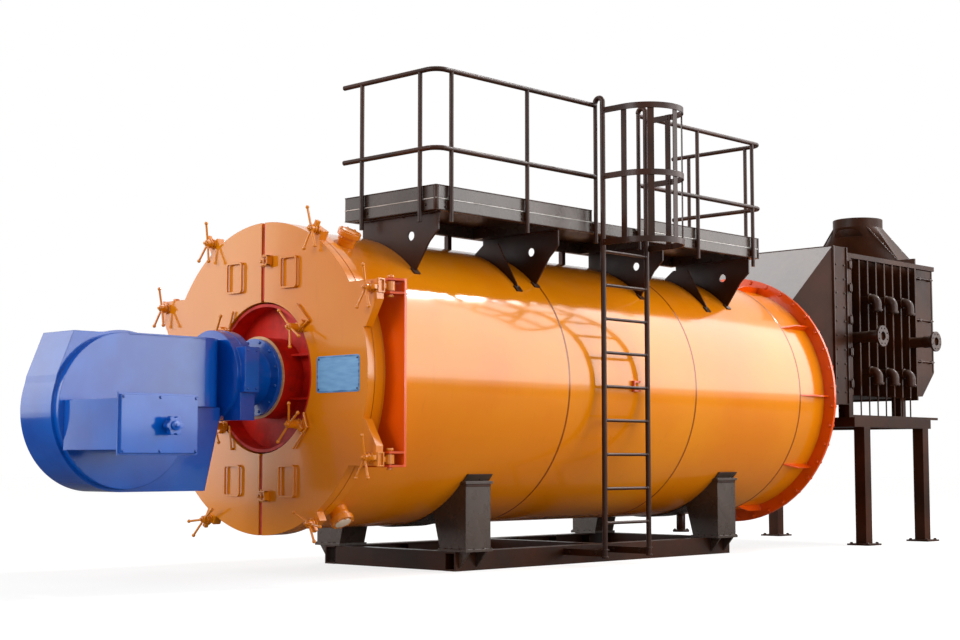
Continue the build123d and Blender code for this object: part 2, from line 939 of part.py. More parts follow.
def side_rails():
    """Rails on both sides of the ladder opening, each with the platform corner it turns."""
    step = rail_radius + rail_plane_gap
    near = side_rail(deck_start - step, ladder_start, side_posts_front + (ladder_start,))
    rear = side_rail(deck_end + step, ladder_end, (ladder_end,) + side_posts_rear)
    return Compound(children=[near, rear])


def ladder():
    """Two stiles that hook over on to the rail posts, round rungs, and brackets from the skid."""
    top = rail_top + rail_radius
    turn_x = (ladder_plane + rail_x()) / 2
    pieces = [ladder_bracket(ladder_start), ladder_bracket(ladder_end)]
    for station in (ladder_start, ladder_end):
        y = at(station)
        stile = rod((ladder_plane, y, ladder_foot), (ladder_plane, y, top), stile_radius)
        profile = Plane(origin=(ladder_plane, y, top), z_dir=(0, 0, 1)) * Circle(stile_radius)
        stile += revolve(profile, Axis((turn_x, y, top), (0, -1, 0)), 180)
        pieces.append(stile)
    rung_count = int((deck_level - rung_first) / rung_pitch) + 1
    pieces += [ladder_rung(rung_first + rung_pitch * i) for i in range(rung_count)]
    return Compound(children=pieces)


def ladder_rung(z):
    """Round bar whose ends are hollowed to sit on the stiles."""
    rung = rod((ladder_plane, at(ladder_start), z), (ladder_plane, at(ladder_end), z), rung_radius)
    for station in (ladder_start, ladder_end):
        y = at(station)
        low, high = z - 2 * rung_radius, z + 2 * rung_radius
        rung -= rod((ladder_plane, y, low), (ladder_plane, y, high), stile_radius + fitting_gap)
    return rung


def ladder_bracket(station):
    """Flat bar from the skid to a stile's foot."""
    y = at(station)
    half = ladder_foot_plate / 2
    reach = ladder_plane - stile_radius - fitting_gap
    return block(skid_half_width, reach, y - half, y + half, ladder_foot, ladder_foot + ladder_foot_height)


def hoop_outline(inset):
    middle = at((ladder_start + ladder_end) / 2)
    outer_half = ladder_width / 2 + cage_overhang
    half = outer_half - inset
    centre_x = ladder_plane + cage_reach - outer_half
    length = centre_x - ladder_plane
    straight = Pos(ladder_plane + length / 2, middle) * Rectangle(length, 2 * half)
    return Pos(centre_x, middle) * Circle(half) + straight


def cage_hoop(z):
    """Flat hoop that opens towards the ladder and fits round its stiles, in lengths that meet at the strips."""
    middle = at((ladder_start + ladder_end) / 2)
    open_x = ladder_plane + stile_radius / 2
    high = z + cage_hoop_height
    hoop = extrude(Pos(0, 0, z) * hoop_outline(0), amount=cage_hoop_height)
    hoop -= extrude(Pos(0, 0, z) * hoop_outline(cage_hoop_thickness), amount=cage_hoop_height)
    hoop -= block(0, open_x, middle - ladder_width, middle + ladder_width, z, high)
    for station in (ladder_start, ladder_end):
        y = at(station)
        hoop -= rod((ladder_plane, y, z - 1), (ladder_plane, y, high + 1), stile_radius)
    outer_half = ladder_width / 2 + cage_overhang
    centre_x = ladder_plane + cage_reach - outer_half
    joint = block(0, 2 * outer_half, -fitting_gap / 2, fitting_gap / 2, z - 1, high + 1)
    for angle in strip_angles():
        hoop -= Pos(centre_x, middle, 0) * Rot(0, 0, angle) * joint
    return list(hoop.solids())


def strip_angles():
    return [180 * i / (cage_strips - 1) - 90 for i in range(cage_strips)]


def ladder_cage():
    """Hoops fixed to the stiles, with upright strips inside them."""
    middle = at((ladder_start + ladder_end) / 2)
    outer_half = ladder_width / 2 + cage_overhang
    centre_x = ladder_plane + cage_reach - outer_half
    low = deck_level + cage_hoop_rises[0]
    high = deck_level + cage_hoop_rises[-1] + cage_hoop_height
    face = outer_half - cage_hoop_thickness - fitting_gap
    half_strip = cage_strip_width / 2
    pieces = [length for rise in cage_hoop_rises for length in cage_hoop(deck_level + rise)]
    for angle in strip_angles():
        edge = math.sqrt(face**2 - half_strip**2)
        strip = block(edge - cage_strip_thickness, edge, -half_strip, half_strip, low, high)
        pieces.append(Pos(centre_x, middle, 0) * Rot(0, 0, angle) * strip)
    return Compound(children=pieces)


def shell_z(x):
    """Height of the shell's upper surface at a distance from its middle plane."""
    return axis_height + math.sqrt(barrel_radius**2 - x**2)


def support_foot(station, x):
    """Small pad where a plate's tip stands on the shell."""
    half_width = support_foot_width / 2
    half_length = support_foot_length / 2
    high = barrel_radius + support_foot_thickness
    pad = block(-half_width, half_width, -half_length, half_length, barrel_radius - stub_root, high)
    lean = math.degrees(math.asin(x / barrel_radius))
    return Pos(0, at(station), axis_height) * Rot(0, lean, 0) * pad


def platform_support(station):
    """Transverse plate with a round hole, standing on the shell under the platform."""
    top = frame_low()
    near = deck_near - support_shoulder
    shoulder_z = top - support_shoulder_height
    slope_z = shoulder_z - support_slope_z
    points = [
        (support_inner_x, top),
        (near, top),
        (near, shoulder_z),
        (near - support_slope_x, slope_z),
        (support_tip_x, shell_z(support_tip_x) - 1),
        (support_inner_x, shell_z(support_inner_x) - deck_beam_height),
    ]
    half = support_plate_thickness / 2
    plate = cross_slab(points, station - half, station + half)
    plate += support_foot(station, support_tip_x)
    plate -= drum(barrel_radius, station - 2 * support_foot_length, station + 2 * support_foot_length)
    hole_x = support_tip_x - support_hole_offset
    hole_z = deck_level - support_hole_drop
    return plate - drum(support_hole_radius, station - 20, station + 20, hole_x, hole_z)


def lifting_lug(station):
    """Plate on the shell's shoulder between the platform supports."""
    top = shell_z(0) + lug_rise
    tip = support_tip_x + lug_tip_overhang
    points = [
        (lug_inner_x - lug_lean, shell_z(lug_inner_x)),
        (lug_inner_x, top),
        (lug_outer_x, top),
        (lug_outer_x + lug_nose_x, top - lug_nose_z),
        (tip, shell_z(tip) + lug_tip_rise),
        (tip, shell_z(tip) - 1),
    ]
    half = support_plate_thickness / 2
    plate = cross_slab(points, station - half, station + half)
    plate += support_foot(station, tip)
    return plate - drum(barrel_radius, station - 2 * support_foot_length, station + 2 * support_foot_length)


def far_post(station):
    half = far_post_size / 2
    y = at(station)
    post = block(far_post_x, far_post_x + far_post_size, y - half, y + half, axis_height, frame_low())
    return post - drum(barrel_radius, station - far_post_size, station + far_post_size)


def platform_supports():
    """Plates, lugs and short posts that stand on the shell under the platform."""
    pieces = [platform_support(station) for station in support_stations]
    pieces += [lifting_lug(station) for station in lug_stations]
    return Compound(children=pieces + [far_post(station) for station in far_post_stations])


# Saddles and skid


def saddle(station):
    """Curved pad with a box on each side that stands on a skid rail."""
    start = station - saddle_length / 2
    end = station + saddle_length / 2
    edge = saddle_edge
    pad = drum(barrel_radius + saddle_pad_thickness, start, end)
    pad -= drum(barrel_radius, start - 1, end + 1)
    pad &= block(-barrel_radius, barrel_radius, at(start), at(end), 0, axis_height - saddle_pad_drop)
    foot = skid_height + saddle_plate
    outline = [
        (saddle_inner, foot),
        (saddle_half_width, foot),
        (saddle_half_width, saddle_top),
        (saddle_web_top_x, saddle_top),
    ]
    web = cross_slab(outline, start, end)
    y0 = at(start) - edge
    y1 = at(end) + edge
    reach = saddle_half_width + edge
    web += block(saddle_web_top_x, reach, y0, y1, saddle_top, saddle_top + saddle_plate)
    web -= drum(barrel_radius + shell_contact, start - 2 * edge, end + 2 * edge)
    web += block(saddle_inner - edge, reach, y0, y1, skid_height, foot)
    gusset = [
        (skid_half_width, skid_height),
        (saddle_half_width, skid_height),
        (skid_half_width, saddle_gusset_foot),
    ]
    inset = saddle_gusset_inset
    for first in (start + inset, end - inset - saddle_gusset_thickness):
        web += cross_slab(gusset, first, first + saddle_gusset_thickness)
    return pad + both_sides(web)


def saddles():
    return Compound(children=[saddle(station) for station in saddle_stations])


def skid_rail(side):
    x1 = skid_half_width
    x0 = x1 - skid_flange_width
    y0 = at(skid_start)
    y1 = at(skid_end)
    rail = block(x0, x1, y0, y1, 0, skid_flange_thickness)
    rail += block(x0, x1, y0, y1, skid_height - skid_flange_thickness, skid_height)
    rail += block(x1 - skid_web_thickness, x1, y0, y1, 0, skid_height)
    return rail if side > 0 else mirror(rail, about=Plane.YZ)


def skid_rails():
    return Compound(children=[skid_rail(1), skid_rail(-1)])


def skid_cross_beams():
    reach = skid_half_width - skid_flange_width
    half = cross_beam_width / 2
    beams = []
    for station in (skid_start + cross_beam_inset, (skid_start + skid_end) / 2, skid_end - cross_beam_inset):
        y = at(station)
        beams.append(block(-reach, reach, y - half, y + half, 0, skid_height))
    return Compound(children=beams)


# Economiser


def inlet_duct():
    """Four-sided duct that widens from the rear cover to the economiser's frame."""
    y0 = at(rear_flange_station + rear_flange_thickness + rear_cover_thickness)
    y1 = at(eco_flange_start)
    narrow_z = axis_height + (inlet_rise - inlet_drop) / 2
    narrow_size = (2 * inlet_half_width, inlet_rise + inlet_drop)
    wide_size = (2 * (eco_half_width - inlet_end_inset), eco_high - eco_low - 2 * inlet_end_inset)
    narrow = Plane(origin=(0, y0, narrow_z), x_dir=(1, 0, 0), z_dir=(0, 1, 0))
    wide = Plane(origin=(0, y1, (eco_low + eco_high) / 2), x_dir=(1, 0, 0), z_dir=(0, 1, 0))
    wall = 2 * inlet_wall
    outer = loft([narrow * Rectangle(*narrow_size), wide * Rectangle(*wide_size)])
    inner_narrow = narrow * Rectangle(narrow_size[0] - wall, narrow_size[1] - wall)
    inner_wide = wide * Rectangle(wide_size[0] - wall, wide_size[1] - wall)
    return outer - loft([inner_narrow, inner_wide])


def fin_stations():
    pitch = (fin_last - fin_first) / (fin_count - 1)
    return [fin_first + pitch * i for i in range(fin_count)]


def economiser_frame():
    """Front frame, corner posts, top beams, rear plate and the drip rail under the fins."""
    wall = eco_frame_wall
    y0 = at(eco_flange_start)
    y1 = at(eco_flange_end)
    frame = block(-eco_half_width, eco_half_width, y0, y1, eco_low, eco_high)
    hole = eco_half_width - wall
    frame -= block(-hole, hole, y0, y1, eco_low + wall, eco_high - wall)
    x0 = eco_half_width - frame_bar
    beam = block(x0, eco_half_width, y1, at(hood_end - beam_overrun), bank_high, bank_high + frame_bar)
    beam += block(x0, eco_half_width, y1, y1 + front_post_length, stand_top, bank_high)
    rail_top_z = stand_top + drip_rail_height
    rail_x0 = eco_half_width - drip_rail_width
    beam += block(rail_x0, eco_half_width, y1, at(drip_rail_end), stand_top, rail_top_z)
    rod_x = eco_half_width - drip_rail_width / 2
    for station in fin_stations():
        y = at(station)
        beam += rod((rod_x, y, rail_top_z - 1), (rod_x, y, bank_low), drip_rod_radius)
    plate_low = bank_low - rear_frame_drop
    plate_high = eco_high + rear_frame_rise
    start = at(bank_end)
    plate = block(-eco_half_width, eco_half_width, start, start + rear_frame_thickness, plate_low, plate_high)
    return frame + both_sides(beam) + plate


def economiser_casing():
    """Body of the bank with upright fins on both sides, cut round the water nozzles and bends."""
    reach = bank_half_width
    out = eco_half_width
    casing = block(-reach, reach, at(bank_start), at(bank_end), bank_low, bank_high)
    half = fin_thickness / 2
    for station in fin_stations():
        y = at(station)
        fin = block(reach - 1, out - fin_inset, y - half, y + half, bank_low, bank_high)
        casing += both_sides(fin)
    for station in nozzle_stations:
        casing -= along_x(nozzle_radius, reach, out, station, nozzle_height)
    for rise in elbow_rises:
        for station in elbow_stations:
            casing -= along_x(elbow_radius, reach, out, station, bank_low + rise)
    return casing


def return_bends():
    """Short elbows out of the bank's near side, each ending in a plain flange."""
    bends = []
    reach = eco_half_width + elbow_out
    for rise in elbow_rises:
        z = bank_low + rise
        low = z - elbow_drop
        for station in elbow_stations:
            y = at(station)
            path = [(bank_half_width, y, z), (reach, y, z), (reach, y, low)]
            bend = bent_bar(path, elbow_radius, elbow_bend)
            bends.append(bend + rod((reach, y, low - elbow_cap), (reach, y, low), elbow_cap_radius))
    return Compound(children=bends)


def nozzle(station):
    """Flanged water connection with its bolt holes."""
    z = nozzle_height
    root = nozzle_reach - nozzle_flange_thickness
    pipe = along_x(nozzle_radius, bank_half_width, root, station, z)
    pipe += along_x(nozzle_flange_radius, root, nozzle_reach, station, z)
    pipe -= along_x(nozzle_bore, bank_half_width + nozzle_root, nozzle_reach + 1, station, z)
    for i in range(nozzle_bolts):
        angle = 2 * math.pi * (i + 0.5) / nozzle_bolts
        bolt_station = station + nozzle_bolt_circle * math.cos(angle)
        bolt_z = z + nozzle_bolt_circle * math.sin(angle)
        pipe -= along_x(nozzle_bolt_radius, root - 1, nozzle_reach + 1, bolt_station, bolt_z)
    return pipe


def nozzles():
    return Compound(children=[nozzle(station) for station in nozzle_stations])


def rear_hood():
    start = bank_end + rear_frame_thickness
    points = [
        (start, hood_low),
        (hood_end - hood_chamfer, hood_low),
        (hood_end, hood_low + hood_chamfer),
        (hood_end, hood_high),
        (start, hood_high),
    ]
    return side_slab(points, -hood_half_width, hood_half_width)


def flue_hood():
    """Taper from the hood's top to the round collar of the flue."""
    y = at(stack_station)
    base = Plane(origin=(0, y + stack_shift, hood_high))
    top = Plane(origin=(0, y, stack_collar_low))
    outer = loft([base * Rectangle(2 * stack_base_x, 2 * stack_base_y), top * Circle(stack_radius)])
    outer += rod((0, y, stack_collar_low), (0, y, stack_collar_high), stack_radius)
    bore_low = stack_collar_low - stack_bore_depth
    return outer - rod((0, y, bore_low), (0, y, stack_collar_high + 1), stack_radius - stack_wall)


def stand_legs():
    legs = []
    half = leg_size / 2
    foot = leg_foot / 2
    top = stand_top - stand_beam_height
    for side in (-1, 1):
        for station in leg_stations:
            x = side * (leg_x - half)
            y = at(station)
            leg = block(x - half, x + half, y - half, y + half, leg_foot_thickness, top)
            legs.append(leg + block(x - foot, x + foot, y - foot, y + foot, 0, leg_foot_thickness))
    return Compound(children=legs)


def stand_beams():
    """Ring of beams on the legs, two cross beams and the pads under the bank."""
    reach = leg_x
    low = stand_top - stand_beam_height
    y0 = at(eco_flange_end)
    y1 = at(leg_stations[1] + leg_size)
    half = leg_size / 2
    pad_half = bearer_size / 2
    beams = block(-reach, reach, y0, y1, low, stand_top)
    inner = reach - leg_size
    beams -= block(-inner, inner, y0 + leg_size, y1 - leg_size, low, stand_top)
    for station in bearer_stations:
        y = at(station)
        beams += block(-reach, reach, y - half, y + half, low, stand_top)
        for side in (-1, 1):
            x = side * bearer_x
            beams += block(x - pad_half, x + pad_half, y - pad_half, y + pad_half, stand_top, bank_low)
    return beams


def both_doors():
    parts = {
        "door_leaf": door_leaf() + hinge_eyes(),
        "door_lining": door_lining(),
        "door_handles": door_handles(),
        "door_clamps": door_clamps(),
    }
    for name, shape in parts.items():
        save(shape, name + "_right")
        save(mirror(shape, about=Plane.YZ), name + "_left")


save(shell_barrel(), "shell_barrel")
save(front_ring(), "front_ring")
save(tube_plate(), "front_tube_plate")
save(burner_well(), "burner_well")
save(rear_shell(), "rear_shell")
save(rear_cover(), "rear_head")
save(rear_flange(), "rear_flange")
save(hinge_wings(), "hinge_wings")
save(shell_stubs(), "shell_stubs")
save(shell_lug(), "shell_lug")
save(skid_rails(), "skid_rails")
save(skid_cross_beams(), "skid_cross_beams")
save(saddles(), "saddles")
both_doors()
save(door_latch(), "door_latch")
save(name_plate(), "name_plate")
save(burner_casing() + burner_duct(), "burner_housing")
save(burner_head(), "burner_head")
save(intake_box(), "intake_box")
save(damper_knob(), "damper_knob")
save(fan_motor(), "fan_motor")
save(platform_deck(), "platform_deck")
save(platform_frame(), "platform_frame")
save(platform_supports(), "platform_supports")
save(toe_boards(), "toe_boards")
save(end_rails(), "end_rails")
save(side_rails(), "side_rails")
save(ladder(), "ladder")
save(ladder_cage(), "ladder_cage")
save(inlet_duct(), "inlet_duct")
save(economiser_frame(), "economiser_frame")
save(economiser_casing(), "economiser_casing")
save(return_bends(), "return_bends")
save(nozzles(), "nozzles")
save(rear_hood(), "rear_hood")
save(flue_hood(), "flue_hood")
save(stand_legs(), "stand_legs")
save(stand_beams(), "stand_beams")
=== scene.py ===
# Horizontal fire-tube boiler with its burner, platform and economiser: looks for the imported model
import bpy
import bmesh
import math
from mathutils import Vector, Matrix


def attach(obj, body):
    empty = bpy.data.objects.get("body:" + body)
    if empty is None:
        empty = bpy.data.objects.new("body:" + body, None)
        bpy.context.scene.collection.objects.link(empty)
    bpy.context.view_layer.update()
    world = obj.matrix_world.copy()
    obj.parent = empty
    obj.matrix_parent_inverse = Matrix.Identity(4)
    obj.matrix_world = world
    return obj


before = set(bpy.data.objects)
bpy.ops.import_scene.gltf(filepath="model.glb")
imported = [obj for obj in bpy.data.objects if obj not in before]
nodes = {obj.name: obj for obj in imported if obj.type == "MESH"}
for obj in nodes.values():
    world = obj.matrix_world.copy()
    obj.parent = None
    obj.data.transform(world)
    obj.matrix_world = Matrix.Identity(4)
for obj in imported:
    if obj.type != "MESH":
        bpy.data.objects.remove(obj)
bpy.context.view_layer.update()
print("frame loaded:", len(nodes), "nodes")

axisHeight = 1.358  # of the shell, the door and the burner head
doorFace = -2.88  # place of the door's front along Y


# Shader maths: one socket with the usual operators, and one graph that adds nodes to a material

class PaintSocket:
    def __init__(self, graph, socket):
        self.graph = graph
        self.socket = socket

    def calc(self, operation, first, second):
        return self.graph.node("ShaderNodeMath", {"operation": operation}, {0: first, 1: second})

    def __add__(self, other):
        return self.calc("ADD", self, other)

    def __radd__(self, other):
        return self.calc("ADD", other, self)

    def __mul__(self, other):
        return self.calc("MULTIPLY", self, other)

    def __rmul__(self, other):
        return self.calc("MULTIPLY", other, self)


class PaintGraph:
    def __init__(self, name):
        self.material = bpy.data.materials.new(name)
        self.material.use_nodes = True
        self.tree = self.material.node_tree
        self.tree.nodes.clear()
        self.out = self.tree.nodes.new("ShaderNodeOutputMaterial")
        self.objectCoords = self.node("ShaderNodeTexCoord", {}, {}, "Object")

    def node(self, kind, settings, inputs, output=0):
        made = self.tree.nodes.new(kind)
        for key, value in settings.items():
            setattr(made, key, value)
        for key, value in inputs.items():
            self.feed(made.inputs[key], value)
        return PaintSocket(self, made.outputs[output])

    def feed(self, socket, value):
        if isinstance(value, PaintSocket):
            self.tree.links.new(value.socket, socket)
        elif isinstance(value, tuple) and len(value) == 3 and len(socket.default_value) == 4:
            socket.default_value = (*value, 1)
        else:
            socket.default_value = value

    def blend(self, share, first, second, mode="MIX"):
        settings = {"data_type": "RGBA", "blend_type": mode}
        return self.node("ShaderNodeMix", settings, {0: share, 6: first, 7: second}, 2)

    def noise(self, scale, detail=3.0, roughness=0.5, where=None):
        where = self.objectCoords if where is None else where
        inputs = {"Vector": where, "Scale": scale, "Detail": detail, "Roughness": roughness}
        return self.node("ShaderNodeTexNoise", {}, inputs)

    def stretched(self, factors):
        return self.node("ShaderNodeMapping", {}, {"Vector": self.objectCoords, "Scale": factors})

    def band(self, value, low, high):
        inputs = {"Value": value, "From Min": low, "From Max": high}
        return self.node("ShaderNodeMapRange", {"interpolation_type": "SMOOTHSTEP"}, inputs)

    def facingUp(self):
        normal = self.node("ShaderNodeNewGeometry", {}, {}, "Normal")
        return self.node("ShaderNodeSeparateXYZ", {}, {0: normal}, "Z")

    def relief(self, height, distance, strength, under=None):
        inputs = {"Height": height, "Distance": distance, "Strength": strength}
        if under is not None:
            inputs["Normal"] = under
        return self.node("ShaderNodeBump", {}, inputs)

    def roundedEdge(self, radius):
        return self.node("ShaderNodeBevel", {"samples": 4}, {"Radius": radius})

    def finish(self, inputs):
        shader = self.node("ShaderNodeBsdfPrincipled", {}, inputs)
        self.tree.links.new(shader.socket, self.out.inputs["Surface"])
        return self.material


def displayColour(red, green, blue):  # 0-255 display values to linear light
    def one(value):
        value = value / 255
        return value / 12.92 if value <= 0.04045 else ((value + 0.055) / 1.055) ** 2.4
    return (one(red), one(green), one(blue))


# Finishes

enamel = {
    "orange": displayColour(228, 136, 6),
    "orangeDeep": displayColour(220, 122, 4),
    "rust": displayColour(150, 58, 14),
    "dust": displayColour(206, 170, 130),
    "roughness": 0.12,
    "specular": 0.5,
    "coat": 0.25,
    "coatRoughness": 0.06,
    "edgeRadius": 0.005,
}


def orangeEnamel(name, values=enamel, shade=(1.0, 1.0, 1.0)):
    g = PaintGraph(name)
    cloud = g.noise(0.9, 4.0)
    colour = g.blend(g.band(cloud, 0.3, 0.7), values["orange"], values["orangeDeep"])
    speck = g.band(g.noise(160.0, 2.0), 0.72, 0.8)
    colour = g.blend(speck * 0.18, colour, values["rust"])
    streak = g.band(g.noise(3.0, 5.0, 0.65, g.stretched((5.0, 5.0, 0.6))), 0.58, 0.8)
    colour = g.blend(streak * 0.14, colour, values["rust"])
    dust = g.band(g.facingUp(), 0.55, 0.98) * g.band(g.noise(5.0, 5.0, 0.65), 0.35, 0.75)
    colour = g.blend(dust * 0.10, colour, values["dust"])
    colour = g.blend(1.0, colour, shade, "MULTIPLY")
    rough = values["roughness"] + g.noise(3.0, 4.0) * 0.06 + dust * 0.08
    flow = g.noise(26.0, 3.0)
    peel = g.noise(420.0, 1.0)
    normal = g.relief(flow * 0.3 + peel * 0.03, 0.001, 0.2, g.roundedEdge(values["edgeRadius"]))
    return g.finish({
        "Base Color": colour, "Roughness": rough, "Normal": normal,
        "Specular IOR Level": values["specular"], "IOR": 1.5,
        "Coat Weight": values["coat"], "Coat Roughness": values["coatRoughness"],
    })


steelPaint = {
    "brown": displayColour(62, 30, 13),
    "black": displayColour(40, 19, 8),
    "dust": displayColour(150, 138, 126),
    "primer": displayColour(104, 62, 40),
    "treadWear": displayColour(140, 130, 120),
    "treadScale": 14.0,
    "roughness": 0.24,
    "specular": 0.22,
    "coat": 0.02,
    "coatRoughness": 0.2,
    "edgeRadius": 0.003,
}
plantMatt = dict(steelPaint, specular=0.09, roughness=0.3)
frameGloss = dict(
    steelPaint, specular=0.55, roughness=0.2, brown=displayColour(74, 58, 48), black=displayColour(52, 38, 30))


def treadPattern(g, scale):  # raised lozenges of chequer plate
    settings = {"bands_direction": "DIAGONAL"}
    turned = g.node(
        "ShaderNodeMapping", {}, {"Vector": g.objectCoords, "Rotation": (0.0, 0.0, math.pi / 2)})
    ribs = g.node("ShaderNodeTexWave", settings, {"Vector": g.objectCoords, "Scale": scale}, "Fac")
    across = g.node("ShaderNodeTexWave", settings, {"Vector": turned, "Scale": scale}, "Fac")
    return g.band(ribs * across, 0.55, 0.8)


def darkPaint(name, values=steelPaint, tread=False, topCoat=0.0):
    g = PaintGraph(name)
    cloud = g.noise(2.2, 5.0, 0.6)
    colour = g.blend(g.band(cloud, 0.3, 0.7), values["brown"], values["black"])
    dust = g.band(g.facingUp(), 0.4, 0.95) * g.band(g.noise(16.0, 6.0, 0.7), 0.25, 0.85)
    colour = g.blend(dust * 0.3, colour, values["dust"])
    fleck = g.band(g.noise(90.0, 3.0, 0.7), 0.68, 0.78)
    colour = g.blend(fleck * 0.3, colour, values["primer"])
    rough = values["roughness"] + g.noise(9.0, 4.0) * 0.16 + dust * 0.25
    grain = g.noise(240.0, 2.0) * 0.25 + g.noise(30.0, 3.0) * 0.5
    normal = g.relief(grain, 0.0015, 0.4, g.roundedEdge(values["edgeRadius"]))
    if tread:
        lozenge = treadPattern(g, values["treadScale"])
        normal = g.relief(lozenge, 0.002, 1.0, normal)
        colour = g.blend(lozenge * 0.35, colour, values["treadWear"])
    coat = values["coat"]
    if topCoat > 0:  # faces that look up keep their shine
        coat = g.band(g.facingUp(), 0.15, 0.5) * topCoat + coat
    return g.finish({
        "Base Color": colour, "Roughness": rough, "Normal": normal,
        "Specular IOR Level": values["specular"], "IOR": 1.5,
        "Coat Weight": coat, "Coat Roughness": values["coatRoughness"],
    })


burnerPaint = {
    "blue": displayColour(2, 90, 190),
    "blueDeep": displayColour(1, 72, 168),
    "dust": displayColour(150, 158, 176),
    "roughness": 0.12,
    "specular": 0.5,
    "coat": 0.3,
    "coatRoughness": 0.06,
    "edgeRadius": 0.008,
}


def blueEnamel(name, values=burnerPaint):
    g = PaintGraph(name)
    cloud = g.noise(3.0, 3.0)
    colour = g.blend(g.band(cloud, 0.3, 0.7), values["blue"], values["blueDeep"])
    dust = g.band(g.facingUp(), 0.6, 0.98) * g.band(g.noise(9.0, 5.0, 0.7), 0.35, 0.8)
    colour = g.blend(dust * 0.15, colour, values["dust"])
    rough = values["roughness"] + g.noise(6.0, 3.0) * 0.08 + dust * 0.2
    flow = g.noise(60.0, 2.0)
    peel = g.noise(500.0, 1.0)
    normal = g.relief(flow * 0.3 + peel * 0.1, 0.001, 0.3, g.roundedEdge(values["edgeRadius"]))
    return g.finish({
        "Base Color": colour, "Roughness": rough, "Normal": normal,
        "Specular IOR Level": values["specular"], "IOR": 1.5,
        "Coat Weight": values["coat"], "Coat Roughness": values["coatRoughness"],
    })


wellPaint = {
    "red": displayColour(206, 24, 2),
    "soot": displayColour(116, 8, 2),
    "scale": displayColour(150, 40, 12),
    "roughness": 0.42,
    "specular": 0.3,
    "edgeRadius": 0.004,
}


def redOxide(name, values=wellPaint):
    g = PaintGraph(name)
    stain = g.band(g.noise(6.0, 6.0, 0.65), 0.35, 0.7)
    colour = g.blend(stain * 0.6, values["red"], values["soot"])
    streak = g.band(g.noise(14.0, 4.0, 0.7, g.stretched((4.0, 4.0, 0.5))), 0.55, 0.75)
    colour = g.blend(streak * 0.35, colour, values["scale"])
    normal = g.relief(g.noise(130.0, 3.0), 0.001, 0.4, g.roundedEdge(values["edgeRadius"]))
    rough = values["roughness"] + stain * 0.15
    return g.finish({
        "Base Color": colour, "Roughness": rough, "Normal": normal,
        "Specular IOR Level": values["specular"], "IOR": 1.5,
    })


plateFinish = {
    "face": displayColour(112, 158, 200),
    "light": displayColour(130, 176, 212),
    "border": displayColour(56, 100, 150),
    "stubCap": (displayColour(232, 208, 178), displayColour(240, 222, 198)),
    # pale peach pair for the ring round the burner neck: a painted highlight on its edge
    "gasketHighlight": (displayColour(214, 150, 96), displayColour(228, 176, 122)),
    # pale greys for the deck edge strips: a painted highlight along the edge
    "edgeHighlight": (displayColour(150, 142, 134), displayColour(196, 190, 184)),
    "coat": 0.3,
    "coatRoughness": 0.1,
}


def platePaint(name, first, second, roughness=0.32, values=plateFinish):
    g = PaintGraph(name)
    sheen = g.noise(9.0, 3.0, 0.5, g.stretched((1.0, 1.0, 5.0)))
    colour = g.blend(g.band(sheen, 0.3, 0.7), first, second)
    rough = roughness + g.noise(40.0, 2.0) * 0.08
    normal = g.relief(g.noise(300.0, 2.0, 0.5, g.stretched((1.0, 1.0, 8.0))), 0.0005, 0.3)
    return g.finish({
        "Base Color": colour, "Roughness": rough, "Normal": normal,
        "Coat Weight": values["coat"], "Coat Roughness": values["coatRoughness"],
    })


liningFinish = {
    "clay": displayColour(206, 190, 164),
    "scorch": displayColour(120, 96, 74),
    "pit": displayColour(150, 130, 104),
    "roughness": 0.9,
}


def refractory(name, values=liningFinish):
    g = PaintGraph(name)
    mottle = g.band(g.noise(5.0, 6.0, 0.7), 0.35, 0.75)
    colour = g.blend(mottle * 0.7, values["clay"], values["scorch"])
    pits = g.node("ShaderNodeTexVoronoi", {}, {"Vector": g.objectCoords, "Scale": 70.0})
    colour = g.blend(g.band(pits, 0.0, 0.25), values["pit"], colour)
    normal = g.relief(pits + g.noise(40.0, 6.0, 0.7), 0.004, 0.6)
    return g.finish({"Base Color": colour, "Roughness": values["roughness"], "Normal": normal})


finishes = {
    "orange": orangeEnamel("orangeEnamel"),
    # a darker, redder copy of the orange enamel: painted shade for the hinge wings, rear flange, rear head and
    # shell lug
    "orangeShaded": orangeEnamel("orangeEnamelShaded", shade=(1.0, 0.36, 0.14)),
    "seam": orangeEnamel("seamShade", shade=(0.34, 0.24, 0.3)),
    "dark": darkPaint("blackBrownPaint"),
    "gloss": darkPaint("platformSatin", frameGloss),
    "matt": darkPaint("economiserPaint", plantMatt),
    "duct": darkPaint("ductPaint", plantMatt, topCoat=0.8),
    "deck": darkPaint("deckTread", tread=True),
    "blue": blueEnamel("blueEnamel"),
    "red": redOxide("redOxidePaint"),
    "plate": platePaint("plateEnamel", plateFinish["face"], plateFinish["light"]),
    "border": platePaint("plateBorder", plateFinish["border"], plateFinish["face"]),
    "pale": platePaint("paleCap", *plateFinish["stubCap"], 0.45),
    # pale peach ring colour is a painted highlight
    "gasketHighlight": platePaint("gasketCordPaintedHighlight", *plateFinish["gasketHighlight"], 0.7),
    # pale grey deck edge strips are a painted highlight
    "steel": platePaint("deckEdgePaintedHighlight", *plateFinish["edgeHighlight"], 0.3),
    "lining": refractory("refractoryLining"),
}

